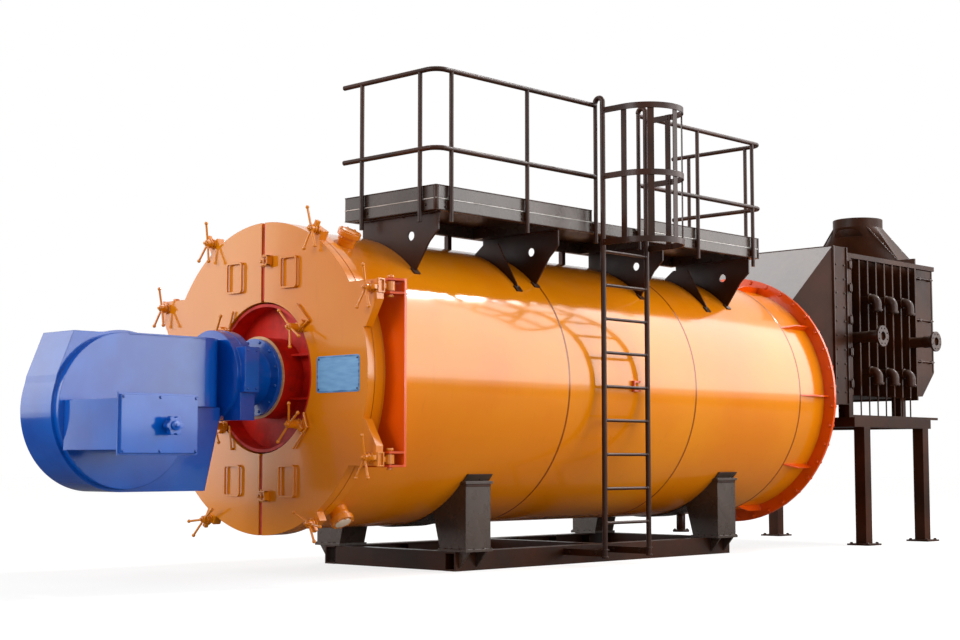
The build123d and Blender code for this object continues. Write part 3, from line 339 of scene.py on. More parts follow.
finishOf = {  # every other node takes the dark paint
    "red": ("front_tube_plate", "burner_well"),
    "plate": ("name_plate",),
    "lining": ("door_lining_right", "door_lining_left"),
    "blue": ("burner_housing", "burner_head", "intake_box", "damper_knob", "fan_motor"),
    "deck": ("platform_deck",),
    "duct": ("inlet_duct",),
    "matt": ("economiser_frame", "economiser_casing", "rear_hood", "flue_hood", "stand_legs", "stand_beams"),
    "gloss": ("toe_boards", "platform_frame", "saddles"),
    # these parts take the orange enamel darkened and reddened as painted shade
    "orangeShaded": ("hinge_wings", "rear_flange", "rear_head", "shell_lug"),
    "orange": (
        "shell_barrel", "front_ring", "rear_shell", "shell_stubs",
        "door_leaf_right", "door_leaf_left", "door_handles_right", "door_handles_left",
        "door_clamps_right", "door_clamps_left", "door_latch",
    ),
}
slotFinish = {name: finish for finish, names in finishOf.items() for name in names}

for name, node in nodes.items():
    node.data.materials.clear()
    node.data.materials.append(finishes[slotFinish.get(name, "dark")])
print("finishes assigned")


# Mesh tools for the trim

boltShape = {  # shares of the bolt's size
    "washer": 0.66, "washerTop": 0.14, "nut": 0.5, "nutTop": 0.46, "crown": 0.42, "crownTop": 0.54,
}
smoothAngle = 38  # degrees, sharper edges stay sharp


def onlyOnce(parts):  # keeps their order, so each run gives the same mesh
    return list(dict.fromkeys(parts))


def alongTo(start, end):
    start, end = Vector(start), Vector(end)
    turn = (end - start).to_track_quat("Z", "Y").to_matrix().to_4x4()
    return Matrix.Translation((start + end) / 2) @ turn


def addRod(shape, start, end, radius, sides=14, tip=None):
    length = (Vector(end) - Vector(start)).length
    return bmesh.ops.create_cone(
        shape, cap_ends=True, segments=sides, radius1=radius, radius2=radius if tip is None else tip,
        depth=length, matrix=alongTo(start, end))


def addCollar(shape, start, end, radius, edge, sides=24):
    made = addRod(shape, start, end, radius, sides)
    caps = onlyOnce(f for v in made["verts"] for f in v.link_faces if len(f.verts) > 4)
    rims = onlyOnce(e for f in caps for e in f.edges)
    bmesh.ops.bevel(
        shape, geom=rims, offset=edge, segments=2, profile=0.5, affect="EDGES", material=-1)


def addSlab(shape, first, second, edge=0.002, turn=None):
    first, second = Vector(first), Vector(second)
    sides = [abs(side) for side in second - first]
    place = Matrix.Translation((first + second) / 2) @ Matrix.Diagonal((*sides, 1.0))
    made = bmesh.ops.create_cube(shape, size=1.0, matrix=place if turn is None else turn @ place)
    edges = onlyOnce(e for v in made["verts"] for e in v.link_edges)
    bmesh.ops.bevel(
        shape, geom=edges, offset=edge, segments=1, profile=0.5, affect="EDGES", material=-1)


def addBall(shape, place, radius):
    bmesh.ops.create_uvsphere(
        shape, u_segments=12, v_segments=8, radius=radius, matrix=Matrix.Translation(place))


def addBolt(shape, place, outward, size):
    place, out, b = Vector(place), Vector(outward).normalized(), boltShape
    washerTop, nutTop, crownTop = (place + out * size * b[key] for key in ("washerTop", "nutTop", "crownTop"))
    addRod(shape, place - out * 0.001, washerTop, size * b["washer"], 14)
    addRod(shape, washerTop, nutTop, size * b["nut"], 6)
    addRod(shape, nutTop, crownTop, size * b["nut"], 6, size * b["crown"])


def addRing(shape, profile, steps, centre=(0.0, 0.0, axisHeight), axis=(0.0, 1.0, 0.0), out=(0.0, 0.0, 1.0)):
    # profile: points of the ring's cut, given as (radius, place along the axis)
    middle, along, out = Vector(centre), Vector(axis), Vector(out)
    verts = [shape.verts.new(middle + out * r + along * y) for r, y in profile]
    edges = [shape.edges.new((verts[i], verts[(i + 1) % len(verts)])) for i in range(len(verts))]
    bmesh.ops.spin(
        shape, geom=verts + edges, cent=middle, axis=axis, angle=2 * math.pi, steps=steps, use_merge=True)


def makePiece(name, shape, finish, body, slot):
    bmesh.ops.remove_doubles(shape, verts=shape.verts, dist=0.00001)
    bmesh.ops.recalc_face_normals(shape, faces=shape.faces)
    mesh = bpy.data.meshes.new(name)
    shape.to_mesh(mesh)
    shape.free()
    mesh.shade_smooth()
    mesh.set_sharp_from_angle(angle=math.radians(smoothAngle))
    mesh.materials.append(finishes[finish])
    piece = bpy.data.objects.new(name, mesh)
    bpy.context.collection.objects.link(piece)
    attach(piece, body)


def rowY(station):  # millimetres behind the door face to metres in this frame
    return station / 1000 + doorFace


def ringPoint(angle, radius, y):
    turn = math.radians(angle)
    return Vector((radius * math.cos(turn), y, axisHeight + radius * math.sin(turn)))


def boltTurns(count):  # angles of a bolt circle, half a pitch off the axes
    return [2 * math.pi * (i + 0.5) / count for i in range(count)]


# Shell: weld seams, flange bolts, stub bolts and covers, drain sleeve

shellTrim = {
    "seams": (2056, 3627, 5153), "seamWidth": 0.0085, "seamRadii": (1.048, 1.0505, 1.053),
    "flangeBolts": 40, "flangeFaces": ((5573, -1), (5615, 1)), "boltCircle": 1.1085, "boltSize": 0.034,
    "stubs": ((60.0, 294), (-59.0, 231)), "stubReach": 1.154, "stubBolts": 8, "stubCircle": 0.068,
    "stubBoltSize": 0.015, "stubCollar": (0.066, -0.07, -0.034), "stubCover": (0.056, -0.001, 0.006),
}

shape = bmesh.new()
foot, toe, crown = shellTrim["seamRadii"]
for station in shellTrim["seams"]:
    y, wide = rowY(station), shellTrim["seamWidth"]
    addRing(shape, ((foot, y - wide), (toe, y - wide), (crown, y), (toe, y + wide), (foot, y + wide)), 180)
makePiece("seamBeads", shape, "seam", "boiler", "shell_barrel")

shape = bmesh.new()
for i in range(shellTrim["flangeBolts"]):
    angle = 360 / shellTrim["flangeBolts"] * (i + 0.5)
    for station, way in shellTrim["flangeFaces"]:
        place = ringPoint(angle, shellTrim["boltCircle"], rowY(station))
        addBolt(shape, place, (0, way, 0), shellTrim["boltSize"])
# the flange bolts take the same orange darkened as painted shade
makePiece("flangeBolts", shape, "orangeShaded", "boiler", "rear_flange")

shape = bmesh.new()
capShape = bmesh.new()
for angle, station in shellTrim["stubs"]:
    out = (ringPoint(angle, 1.0, 0) - ringPoint(angle, 0.0, 0)).normalized()
    side = Vector((0, 1, 0))
    up = out.cross(side)
    face = ringPoint(angle, shellTrim["stubReach"], rowY(station))
    for turn in boltTurns(shellTrim["stubBolts"]):
        around = side * math.cos(turn) + up * math.sin(turn)
        addBolt(shape, face + around * shellTrim["stubCircle"], out, shellTrim["stubBoltSize"])
    radius, low, high = shellTrim["stubCollar"]
    addCollar(shape, face + out * low, face + out * high, radius, 0.003)
    radius, low, high = shellTrim["stubCover"]
    coverShape = capShape if angle < 0 else shape  # only the lower stub's cover is pale
    addCollar(coverShape, face + out * low, face + out * high, radius, 0.002, 32)
makePiece("stubBolts", shape, "orange", "boiler", "shell_stubs")
makePiece("stubCovers", capShape, "pale", "boiler", "shell_stubs")

drainTrim = {
    "y": rowY(4808), "pipe": 0.0395, "pipeEnds": (0.170, 0.320), "plate": 0.0735, "plateEnds": (0.1515, 0.171),
    "bolts": 4, "boltCircle": 0.055, "boltSize": 0.018,
}
shape = bmesh.new()
y = drainTrim["y"]
for part, sides, edge in (("pipe", 28, 0.001), ("plate", 36, 0.002)):
    low, high = drainTrim[part + "Ends"]
    addCollar(shape, (0, y, low), (0, y, high), drainTrim[part], edge, sides)
for turn in boltTurns(drainTrim["bolts"]):
    dx, dy = drainTrim["boltCircle"] * math.cos(turn), drainTrim["boltCircle"] * math.sin(turn)
    addBolt(shape, (dx, y + dy, drainTrim["plateEnds"][1]), (0, 0, 1), drainTrim["boltSize"])
makePiece("drainSleeve", shape, "dark", "boiler", "skid_rails")
print("shell trim made")


# Hinges: pin heads and split pins on the fixed forks

hingeTrim = {
    "pinX": 1.17, "pinY": rowY(120), "forks": ((0.728, 0.861), (1.855, 1.988)),
    "headRadius": 0.024, "footRadius": 0.0204, "splitPin": 0.003, "splitReach": 0.03,
}
shape = bmesh.new()
for side in (-1, 1):
    x, y, reach = side * hingeTrim["pinX"], hingeTrim["pinY"], hingeTrim["splitReach"]
    for bottom, top in hingeTrim["forks"]:
        addCollar(shape, (x, y, top - 0.012), (x, y, top + 0.006), hingeTrim["headRadius"], 0.003)
        addCollar(shape, (x, y, bottom - 0.006), (x, y, bottom + 0.008), hingeTrim["footRadius"], 0.002)
        z = bottom + 0.001
        addRod(shape, (x - reach, y, z), (x + reach, y, z), hingeTrim["splitPin"], 8)
makePiece("hingePinHeads", shape, "orange", "boiler", "hinge_wings")


# Door furniture: clamp nuts and tabs, bent rods, seam cord, latch frames, plate rim and rivets

doorTrim = {
    # each clamp: place beside and above the axis, depth of its screw, turn of its tab in degrees
    "rimClamps": ((0.570, 0.987, 0.062, 60.0), (1.116, 0.552, 0.062, 0.0),
                  (0.570, -0.987, 0.062, -60.0), (1.116, -0.552, 0.062, 0.0)),
    "wellClamps": ((0.4057, 0.3285, 0.104, 39.0), (0.4057, -0.3285, 0.104, -39.0)),
    "rimTab": (0.012, 0.062), "wellTab": (-0.008, 0.064), "tabHalf": 0.017, "tabRise": 0.030,
    # along the screw: start, end, radius, edge, sides
    "footNut": (-0.001, 0.010, 0.041, 0.003, 6), "footCollar": (0.022, 0.034, 0.033, 0.003, 24),
    "endNut": (-0.002, 0.010, 0.020, 0.003, 6), "endStud": (0.008, 0.024, 0.010, 0.002, 12),
    "rightRods": (((0.387, 0.485), (0.507, 0.369), (0.400, 0.305)),
                  ((0.365, -0.487), (0.502, -0.347), (0.470, -0.255))),
    "leftRods": (((-0.312, 0.474), (-0.353, 0.352)), ((-0.333, -0.335), (-0.311, -0.490))),
    "rodRadius": 0.008, "rodJoint": 0.00896, "rodLift": 0.016,
}


def screwPart(shape, x, y, z, key):
    start, end, radius, edge, sides = doorTrim[key]
    addCollar(shape, (x, y - start, z), (x, y - end, z), radius, edge, sides)


def clampTrim(shape, side, clamps, tab):
    half, rise = doorTrim["tabHalf"], doorTrim["tabRise"]
    for x, up, depth, lean in clamps:
        x, z = side * x, axisHeight + up
        screwPart(shape, x, doorFace, z, "footNut")
        screwPart(shape, x, doorFace, z, "footCollar")
        screwPart(shape, x, doorFace - depth, z, "endNut")
        screwPart(shape, x, doorFace - depth, z, "endStud")
        turn = math.radians(lean if side > 0 else 180.0 - lean)
        place = Matrix.Translation((x, doorFace, z)) @ Matrix.Rotation(-turn, 4, "Y")
        addSlab(shape, (tab[0], -rise, -half), (tab[1], -0.001, half), 0.003, place)


def bentRods(shape, lines):
    y, lift = doorFace - doorTrim["rodLift"], Vector((0, doorTrim["rodLift"], 0))
    for line in lines:
        points = [Vector((x, y, axisHeight + z)) for x, z in line]
        for first, second in zip(points, points[1:]):
            addRod(shape, first, second, doorTrim["rodRadius"], 12)
        for point in points:
            addBall(shape, point, doorTrim["rodJoint"])
        foot = points[len(points) // 2]
        addRod(shape, foot, foot + lift, doorTrim["rodRadius"], 12)


for side, end in ((1, "right"), (-1, "left")):
    shape = bmesh.new()
    clampTrim(shape, side, doorTrim["rimClamps"], doorTrim["rimTab"])
    clampTrim(shape, side, doorTrim["wellClamps"], doorTrim["wellTab"])
    bentRods(shape, doorTrim[end + "Rods"])
    makePiece("clampNuts" + end.capitalize(), shape, "orange", "door_" + end, "door_clamps_" + end)

seamTrim = {"sides": (-0.011, 0.0186), "front": rowY(6), "back": rowY(50), "inner": 0.535, "outer": 1.078}
shape = bmesh.new()
left, right = seamTrim["sides"]
for side in (-1, 1):
    inner, outer = axisHeight + side * seamTrim["inner"], axisHeight + side * seamTrim["outer"]
    addSlab(shape, (left, seamTrim["front"], inner), (right, seamTrim["back"], outer), 0.004)
makePiece("seamCord", shape, "red", "door_right", "front_tube_plate")

latchTrim = {
    "offsets": (0.810, -0.815), "boltX": (0.004, 0.05), "boltSize": 0.020, "boltLift": 0.020,
    "frameX": (0.042, 0.104), "frameHalf": 0.036, "frameReach": 0.052, "bar": 0.012,
    "pinX": 0.052, "pinReach": 0.036, "pinHalf": 0.046, "pinRadius": 0.007,
}
shape = bmesh.new()
for rise in latchTrim["offsets"]:
    z, y, half = axisHeight + rise, doorFace - latchTrim["boltLift"], latchTrim["frameHalf"]
    for x in latchTrim["boltX"]:
        addBolt(shape, (x, y, z), (0, -1, 0), latchTrim["boltSize"])
    (low, high), bar = latchTrim["frameX"], latchTrim["bar"]
    front = doorFace - latchTrim["frameReach"]
    addSlab(shape, (high - bar, front, z - half), (high, doorFace - 0.0005, z + half), 0.003)
    addSlab(shape, (low, front, z + half - bar), (high, y, z + half), 0.003)
    addSlab(shape, (low, front, z - half), (high, y, z - half + bar), 0.003)
    x, y, half = latchTrim["pinX"], doorFace - latchTrim["pinReach"], latchTrim["pinHalf"]
    addCollar(shape, (x, y, z - half), (x, y, z + half), latchTrim["pinRadius"], 0.002, 12)
makePiece("latchFrames", shape, "orange", "door_right", "door_latch")

plateTrim = {
    "x": (0.585, 1.010), "z": (1.236, 1.480), "face": doorFace - 0.004, "margin": 0.003,
    "corner": 0.022, "rim": 0.009, "rimRise": 0.0022, "rivetInset": 0.022, "rivetRadius": 0.0065,
}
(lowX, highX), (lowZ, highZ) = plateTrim["x"], plateTrim["z"]
shape = bmesh.new()
place = Matrix.Translation(((lowX + highX) / 2, plateTrim["face"], (lowZ + highZ) / 2))
place = place @ Matrix.Rotation(math.pi / 2, 4, "X")
halves = ((highX - lowX) / 2 - plateTrim["margin"], (highZ - lowZ) / 2 - plateTrim["margin"])
place = place @ Matrix.Diagonal((*halves, 1.0, 1.0))
made = bmesh.ops.create_grid(shape, x_segments=1, y_segments=1, size=1.0, matrix=place)
bmesh.ops.bevel(
    shape, geom=made["verts"], offset=plateTrim["corner"], segments=6, profile=0.5, affect="VERTICES", material=-1)
rim = bmesh.ops.inset_individual(shape, faces=list(shape.faces), thickness=plateTrim["rim"])["faces"]
bmesh.ops.delete(shape, geom=[f for f in shape.faces if f not in rim], context="FACES_ONLY")
lifted = bmesh.ops.extrude_face_region(shape, geom=list(shape.faces))["geom"]
liftedVerts = [v for v in lifted if isinstance(v, bmesh.types.BMVert)]
bmesh.ops.translate(shape, verts=liftedVerts, vec=(0, -plateTrim["rimRise"], 0))
makePiece("plateBorder", shape, "border", "door_right", "name_plate")

shape = bmesh.new()
inset, face = plateTrim["rivetInset"], plateTrim["face"]
for x in (lowX + inset, highX - inset):
    for z in (lowZ + inset, highZ - inset):
        addCollar(shape, (x, face + 0.001, z), (x, face - 0.003, z), plateTrim["rivetRadius"], 0.0015, 16)
makePiece("plateRivets", shape, "dark", "door_right", "name_plate")
print("door trim made")


# Burner: gasket ring painted pale as a highlight, intake screws, knob collars, seams, motor fins and cowl

burnerTrim = {
    "gasketHighlight": ((0.262, rowY(-41)), (0.286, rowY(-41)), (0.286, rowY(-33)), (0.262, rowY(-33))),
    "intakeFace": 0.845, "intakeRows": (-1706, -1445.5, -1185), "intakeHeights": (0.842, 1.161),
    "knob": (0.925, rowY(-1393), 0.993), "knobFoot": (0.844, 0.852),
    "flanges": ((0.246, -75, -1), (0.247, -300, 1)), "flangeBolts": 12,
    "headBead": ((0.300, rowY(-372)), (0.3085, rowY(-370)), (0.3085, rowY(-358)), (0.300, rowY(-356))),
    "coverFace": 0.346, "coverRows": (-395, -325), "coverHeights": (1.262, 1.516),
    "ductSeams": (-0.204, 0.204), "seamRows": (-1240, -645), "seamHeights": (1.583, 1.5955),
    "motor": (rowY(-1245), 1.100), "fins": 22, "finX": (-0.62, -0.26), "finReach": (0.158, 0.182),
    "cowl": (-0.64, -0.699, 0.180, 0.012), "motorFlange": (-0.21, -0.235, 0.196, 0.004),
    "terminalX": (-0.52, -0.36), "terminalHalf": 0.075, "terminalRise": (0.16, 0.245),
}

# the ring round the burner neck is painted pale peach as a highlight
shape = bmesh.new()
addRing(shape, burnerTrim["gasketHighlight"], 96)
makePiece("portGasket", shape, "gasketHighlight", "boiler", "burner_well")


def screwRows(shape, x, rows, heights, size):
    for station in rows:
        for z in heights:
            addBolt(shape, (x, rowY(station), z), (1, 0, 0), size)


shape = bmesh.new()
b = burnerTrim
screwRows(shape, b["intakeFace"], b["intakeRows"], b["intakeHeights"], 0.015)
x, y, z = b["knob"]
addCollar(shape, (x - 0.002, y, z), (x + 0.012, y, z), 0.030, 0.004)
addCollar(shape, (x + 0.010, y, z), (x + 0.022, y, z), 0.012, 0.003, 6)
low, high = b["knobFoot"]
addCollar(shape, (low, y, z), (high, y, z), 0.034, 0.003)
for i in range(b["flangeBolts"]):
    angle = 360 / b["flangeBolts"] * (i + 0.5)
    for radius, station, way in b["flanges"]:
        addBolt(shape, ringPoint(angle, radius, rowY(station)), (0, way, 0), 0.018)
addRing(shape, b["headBead"], 96)
screwRows(shape, b["coverFace"], b["coverRows"], b["coverHeights"], 0.014)
front, back = (rowY(station) for station in b["seamRows"])
low, high = b["seamHeights"]
for x in b["ductSeams"]:
    addSlab(shape, (x - 0.003, front, low), (x + 0.003, back, high), 0.001)
motorY, motorZ = b["motor"]
for i in range(b["fins"]):
    turn = Matrix.Rotation(2 * math.pi * i / b["fins"], 4, "X")
    place = Matrix.Translation((0, motorY, motorZ)) @ turn
    (left, right), (low, high) = b["finX"], b["finReach"]
    addSlab(shape, (left, -0.004, low), (right, 0.004, high), 0.001, place)
for left, right, radius, edge in (b["cowl"], b["motorFlange"]):
    addCollar(shape, (left, motorY, motorZ), (right, motorY, motorZ), radius, edge, 48)
(left, right), (low, high), half = b["terminalX"], b["terminalRise"], b["terminalHalf"]
addSlab(shape, (left, motorY - half, motorZ + low), (right, motorY + half, motorZ + high), 0.006)
makePiece("burnerFittings", shape, "blue", "boiler", "burner_housing")
print("burner trim made")


# Platform: board lips, deck edges, corner posts, feet bolts

platformTrim = {
    "near": 1.012, "far": 0.076, "start": rowY(694), "end": rowY(4599), "ladder": (rowY(2387), rowY(2916)),
    "footLip": (2.5105, 2.5165), "deckEdge": (2.5885, 2.5965), "topLip": (2.680, 2.687),
    "cornerPost": (2.512, 2.686, 0.019), "posts": (820, 1607, 2387, 2916, 3695, 4480),
    "postBolts": (2.535, 2.570), "endBoltHeight": 2.552, "startPosts": (0.279, 0.876), "endPosts": (0.266, 0.868),
    "boltOff": 0.034, "boltSize": 0.016,
    "supports": (762, 2025, 3304, 4508), "supportX": (0.22, 0.962), "supportLip": (2.500, 2.5098),
    "supportBolts": (0.30, 0.62, 0.90),
}

shape = bmesh.new()
edgeShape = bmesh.new()
t = platformTrim
near, far, start, end, off = t["near"], t["far"], t["start"], t["end"], t["boltOff"]
(footLow, footHigh), (deckLow, deckHigh), (topLow, topHigh) = t["footLip"], t["deckEdge"], t["topLip"]
ladderLow, ladderHigh = t["ladder"]
for low, high in ((start, ladderLow - 0.02), (ladderHigh + 0.02, end)):
    addSlab(edgeShape, (near - 0.002, low, deckLow), (near + 0.005, high, deckHigh), 0.001)
    addSlab(shape, (near - 0.006, low, topLow), (near + 0.004, high, topHigh), 0.001)
addSlab(shape, (near - 0.002, start, footLow), (near + 0.006, end, footHigh), 0.001)
postLow, postHigh, postRadius = t["cornerPost"]
for y, out in ((start, -1), (end, 1)):
    lip = y + out * 0.005
    addSlab(edgeShape, (far, y, deckLow), (near, lip, deckHigh), 0.001)
    addSlab(shape, (far, y, footLow), (near, lip, footHigh), 0.001)
    addSlab(shape, (far, y, topLow), (near, lip, topHigh), 0.001)
    corner = (near - 0.012, y - out * 0.012)
    addCollar(shape, (*corner, postLow), (*corner, postHigh), postRadius, 0.002, 20)
for station in t["posts"]:
    for y in (rowY(station) - off, rowY(station) + off):
        for z in t["postBolts"]:
            addBolt(shape, (near, y, z), (1, 0, 0), t["boltSize"])
for y, way, posts in ((start, -1, t["startPosts"]), (end, 1, t["endPosts"])):
    for post in posts:
        for x in (post - off, post + off):
            addBolt(shape, (x, y, t["endBoltHeight"]), (0, way, 0), t["boltSize"])
(left, right), (low, high) = t["supportX"], t["supportLip"]
for station in t["supports"]:
    y = rowY(station)
    addSlab(shape, (left, y - 0.030, low), (right, y - 0.007, high), 0.001)
    addSlab(shape, (left, y + 0.007, low), (right, y + 0.030, high), 0.001)
    for x in t["supportBolts"]:
        addBolt(shape, (x, y - 0.019, low), (0, 0, -1), 0.013)
makePiece("platformFixings", shape, "dark", "boiler", "platform_frame")
# the deck edge strips are painted pale grey as a highlight line
makePiece("deckEdges", edgeShape, "steel", "boiler", "platform_deck")


# Ladder and cage: rung collars, strip bolts inside the hoops, bracket plates and feet

ladderTrim = {
    "plane": 1.106, "firstRung": 0.321, "pitch": 0.2556, "rungs": 9, "rungCollar": 0.0165,
    "cageCentre": (1.318, rowY(2651.5)), "cageHalf": 0.285, "strips": 5, "stripFace": 0.2712, "stripBolt": 0.011,
    "hoops": (2.4325, 2.9345, 3.4425), "bracketPlate": (0.118, 0.126), "bracketBolts": (0.76, 1.02),
    "bracketHeight": 0.096, "foot": (0.060, 0.074, 0.026),
}
shape = bmesh.new()
x = ladderTrim["plane"]
for i in range(ladderTrim["rungs"]):
    z = ladderTrim["firstRung"] + ladderTrim["pitch"] * i
    for low, high in ((ladderLow + 0.012, ladderLow + 0.027), (ladderHigh - 0.027, ladderHigh - 0.012)):
        addCollar(shape, (x, low, z), (x, high, z), ladderTrim["rungCollar"], 0.003, 16)
centreX, centreY = ladderTrim["cageCentre"]
for z in ladderTrim["hoops"]:
    for i in range(ladderTrim["strips"]):
        turn = math.radians(45 * i - 90)
        out = Vector((math.cos(turn), math.sin(turn), 0))
        for rise in (-ladderTrim["stripBolt"], ladderTrim["stripBolt"]):
            place = Vector((centreX, centreY, z + rise)) + out * ladderTrim["stripFace"]
            addBolt(shape, place, -out, 0.012)
    for way in (-1, 1):
        addBolt(shape, (x + 0.028, centreY + way * ladderTrim["cageHalf"], z), (0, way, 0), 0.014)
plateLow, plateHigh = ladderTrim["bracketPlate"]
footLow, footHigh, footRadius = ladderTrim["foot"]
for y in (ladderLow, ladderHigh):
    addSlab(shape, (x - 0.03, y - 0.024, plateLow), (x + 0.024, y + 0.024, plateHigh), 0.002)
    for boltX in ladderTrim["bracketBolts"]:
        addBolt(shape, (boltX, y - 0.006, ladderTrim["bracketHeight"]), (0, -1, 0), 0.02)
    addCollar(shape, (x, y, footLow), (x, y, footHigh), footRadius, 0.003, 20)
makePiece("ladderFixings", shape, "dark", "boiler", "ladder")
print("platform trim made")


# Saddles and skid: base bolts, stiffeners and weld beads

saddleTrim = {
    "stations": (1337, 4380), "plateTop": 0.158, "boltSize": 0.011,
    "sideBoltX": 0.806, "sideBolts": (-0.128, -0.048, 0.048, 0.128),
    "endBoltsX": (0.60, 0.66, 0.74), "endBoltOff": 0.134,
    "beadX": 0.8, "beadHalf": 0.128, "beadHeights": (0.600, 0.6198),
    "ribs": (-0.06, 0.06), "ribX": (0.590, 0.794), "ribHeights": (0.166, 0.174),
}
skidTrim = {
    "ribs": (1500, 2000, 2500, 3300, 3800, 4250), "ribX": (0.597, 0.688), "ribHeights": (0.012, 0.126),
    "endBolts": (1262, 4498), "endBoltX": 0.702, "endBoltHeight": 0.069, "endBoltSize": 0.024,
}
shape = bmesh.new()
s = saddleTrim
beadLow, beadHigh = s["beadHeights"]
for station in s["stations"]:
    y = rowY(station)
    for side in (-1, 1):
        for off in s["sideBolts"]:
            addBolt(shape, (side * s["sideBoltX"], y + off, s["plateTop"]), (0, 0, 1), s["boltSize"])
        for x in s["endBoltsX"]:
            for off in (-s["endBoltOff"], s["endBoltOff"]):
                addBolt(shape, (side * x, y + off, s["plateTop"]), (0, 0, 1), s["boltSize"])
        x, half = side * s["beadX"], s["beadHalf"]
        addSlab(shape, (x - 0.004, y - half, beadLow), (x + 0.004, y + half, beadHigh), 0.002)
        (inner, outer), (low, high) = s["ribX"], s["ribHeights"]
        for off in s["ribs"]:
            addSlab(shape, (side * inner, y + off - 0.005, low), (side * outer, y + off + 0.005, high), 0.002)
s = skidTrim
(inner, outer), (low, high) = s["ribX"], s["ribHeights"]
for side in (-1, 1):
    for station in s["ribs"]:
        y = rowY(station)
        addSlab(shape, (side * inner, y - 0.005, low), (side * outer, y + 0.005, high), 0.002)
    for station in s["endBolts"]:
        place = (side * s["endBoltX"], rowY(station), s["endBoltHeight"])
        addBolt(shape, place, (side, 0, 0), s["endBoltSize"])
makePiece("skidFixings", shape, "dark", "boiler", "skid_rails")


# Economiser: frame bolts, hinged brackets, corner beads, hood pins, foot bolts

ecoTrim = {
    "frame": (rowY(6050), rowY(6290)), "half": 0.85, "beadHeights": (1.316, 2.780), "bead": 0.012,
    "sideBolts": 11, "sideBoltLow": 1.38, "sideBoltPitch": 0.132, "frontBoltX": 0.82,
    "crossBolts": 12, "crossBoltStart": -0.77, "crossBoltPitch": 0.14, "crossBoltHeights": (1.336, 2.750),
    "brackets": (1.50, 1.80, 2.10, 2.40, 2.62), "bracketX": (0.846, 0.880), "knuckle": (0.874, 0.048, 0.010),
    "pinHeights": (2.62, 2.20, 1.78), "pinEnds": (rowY(7600), rowY(8120)), "pinX": 0.744, "pinRadius": 0.0065,
    "clipX": (0.719, 0.750), "legs": (6512, 7612), "legX": 0.85, "legBoltOff": 0.085, "legBoltHeight": 0.015,
}
shape = bmesh.new()
e = ecoTrim
front, back = e["frame"]
beadLow, beadHigh = e["beadHeights"]
pinStart, pinEnd = e["pinEnds"]
for side in (-1, 1):
    x = side * e["half"]
    for i in range(e["sideBolts"]):
        z = e["sideBoltLow"] + e["sideBoltPitch"] * i
        addBolt(shape, (side * e["frontBoltX"], front, z), (0, -1, 0), 0.020)
        if i < e["sideBolts"] - 1:
            addBolt(shape, (x, front + 0.05, z + 0.04), (side, 0, 0), 0.018)
            addBolt(shape, (x, back - 0.05, z + 0.04), (side, 0, 0), 0.018)
    beadX = x + side * e["bead"]
    addSlab(shape, (x, front, beadLow), (beadX, front + 0.016, beadHigh), 0.002)
    addSlab(shape, (x, back - 0.016, beadLow), (beadX, back, beadHigh), 0.002)
    inner, outer = e["bracketX"]
    knuckleX, knuckleHalf, knuckleRadius = e["knuckle"]
    for z in e["brackets"]:
        addSlab(shape, (side * inner, back + 0.006, z - 0.035), (side * outer, back + 0.052, z + 0.035), 0.004)
        low, high = ((side * knuckleX, back + 0.030, z + way * knuckleHalf) for way in (-1, 1))
        addCollar(shape, low, high, knuckleRadius, 0.003, 12)
    inner, outer = e["clipX"]
    for z in e["pinHeights"]:
        pinX = side * e["pinX"]
        addRod(shape, (pinX, pinStart, z), (pinX, pinEnd, z), e["pinRadius"], 10)
        for y in (pinStart + 0.02, (pinStart + pinEnd) / 2, pinEnd - 0.04):
            addSlab(shape, (side * inner, y - 0.012, z - 0.014), (side * outer, y + 0.012, z + 0.014), 0.002)
    for station in e["legs"]:
        for dx in (-e["legBoltOff"], e["legBoltOff"]):
            for dy in (-e["legBoltOff"], e["legBoltOff"]):
                place = (side * e["legX"] + dx, rowY(station) + dy, e["legBoltHeight"])
                addBolt(shape, place, (0, 0, 1), 0.026)
for i in range(e["crossBolts"]):
    for z in e["crossBoltHeights"]:
        addBolt(shape, (e["crossBoltStart"] + e["crossBoltPitch"] * i, front, z), (0, -1, 0), 0.020)
makePiece("economiserFixings", shape, "dark", "boiler", "economiser_frame")


# Nozzles and return bends: flange nuts, sleeves, collars

pipeTrim = {
    "nozzles": (6485, 7495), "height": 1.946, "nutFace": 1.088, "nuts": 8, "nutCircle": 0.075, "nutSize": 0.022,
    "sleeve": (0.975, 1.088, 0.058, 0.006), "rootCollar": (0.735, 0.748, 0.075, 0.004),
    "elbows": (6700, 7000, 7315), "elbowHeights": (2.325, 1.630), "elbowX": 0.925, "elbowDrop": (0.119, 0.126),
    "elbowCollar": (0.846, 0.862, 0.051, 0.004), "elbowEnd": 0.050, "elbowNuts": 4, "elbowCircle": 0.041,
}
shape = bmesh.new()
p = pipeTrim
for station in p["nozzles"]:
    y, z = rowY(station), p["height"]
    for turn in boltTurns(p["nuts"]):
        dy, dz = p["nutCircle"] * math.cos(turn), p["nutCircle"] * math.sin(turn)
        addBolt(shape, (p["nutFace"], y + dy, z + dz), (-1, 0, 0), p["nutSize"])
    for left, right, radius, edge in (p["sleeve"], p["rootCollar"]):
        addCollar(shape, (left, y, z), (right, y, z), radius, edge, 28)
left, right, radius, edge = p["elbowCollar"]
x, (dropTop, dropEnd) = p["elbowX"], p["elbowDrop"]
for z in p["elbowHeights"]:
    for station in p["elbows"]:
        y = rowY(station)
        addCollar(shape, (left, y, z), (right, y, z), radius, edge, 24)
        addCollar(shape, (x, y, z - dropTop), (x, y, z - dropEnd), p["elbowEnd"], 0.002, 24)
        for turn in boltTurns(p["elbowNuts"]):
            dx, dy = p["elbowCircle"] * math.cos(turn), p["elbowCircle"] * math.sin(turn)
            addBolt(shape, (x + dx, y + dy, z - dropEnd), (0, 0, -1), 0.010)
makePiece("pipeFixings", shape, "dark", "boiler", "nozzles")


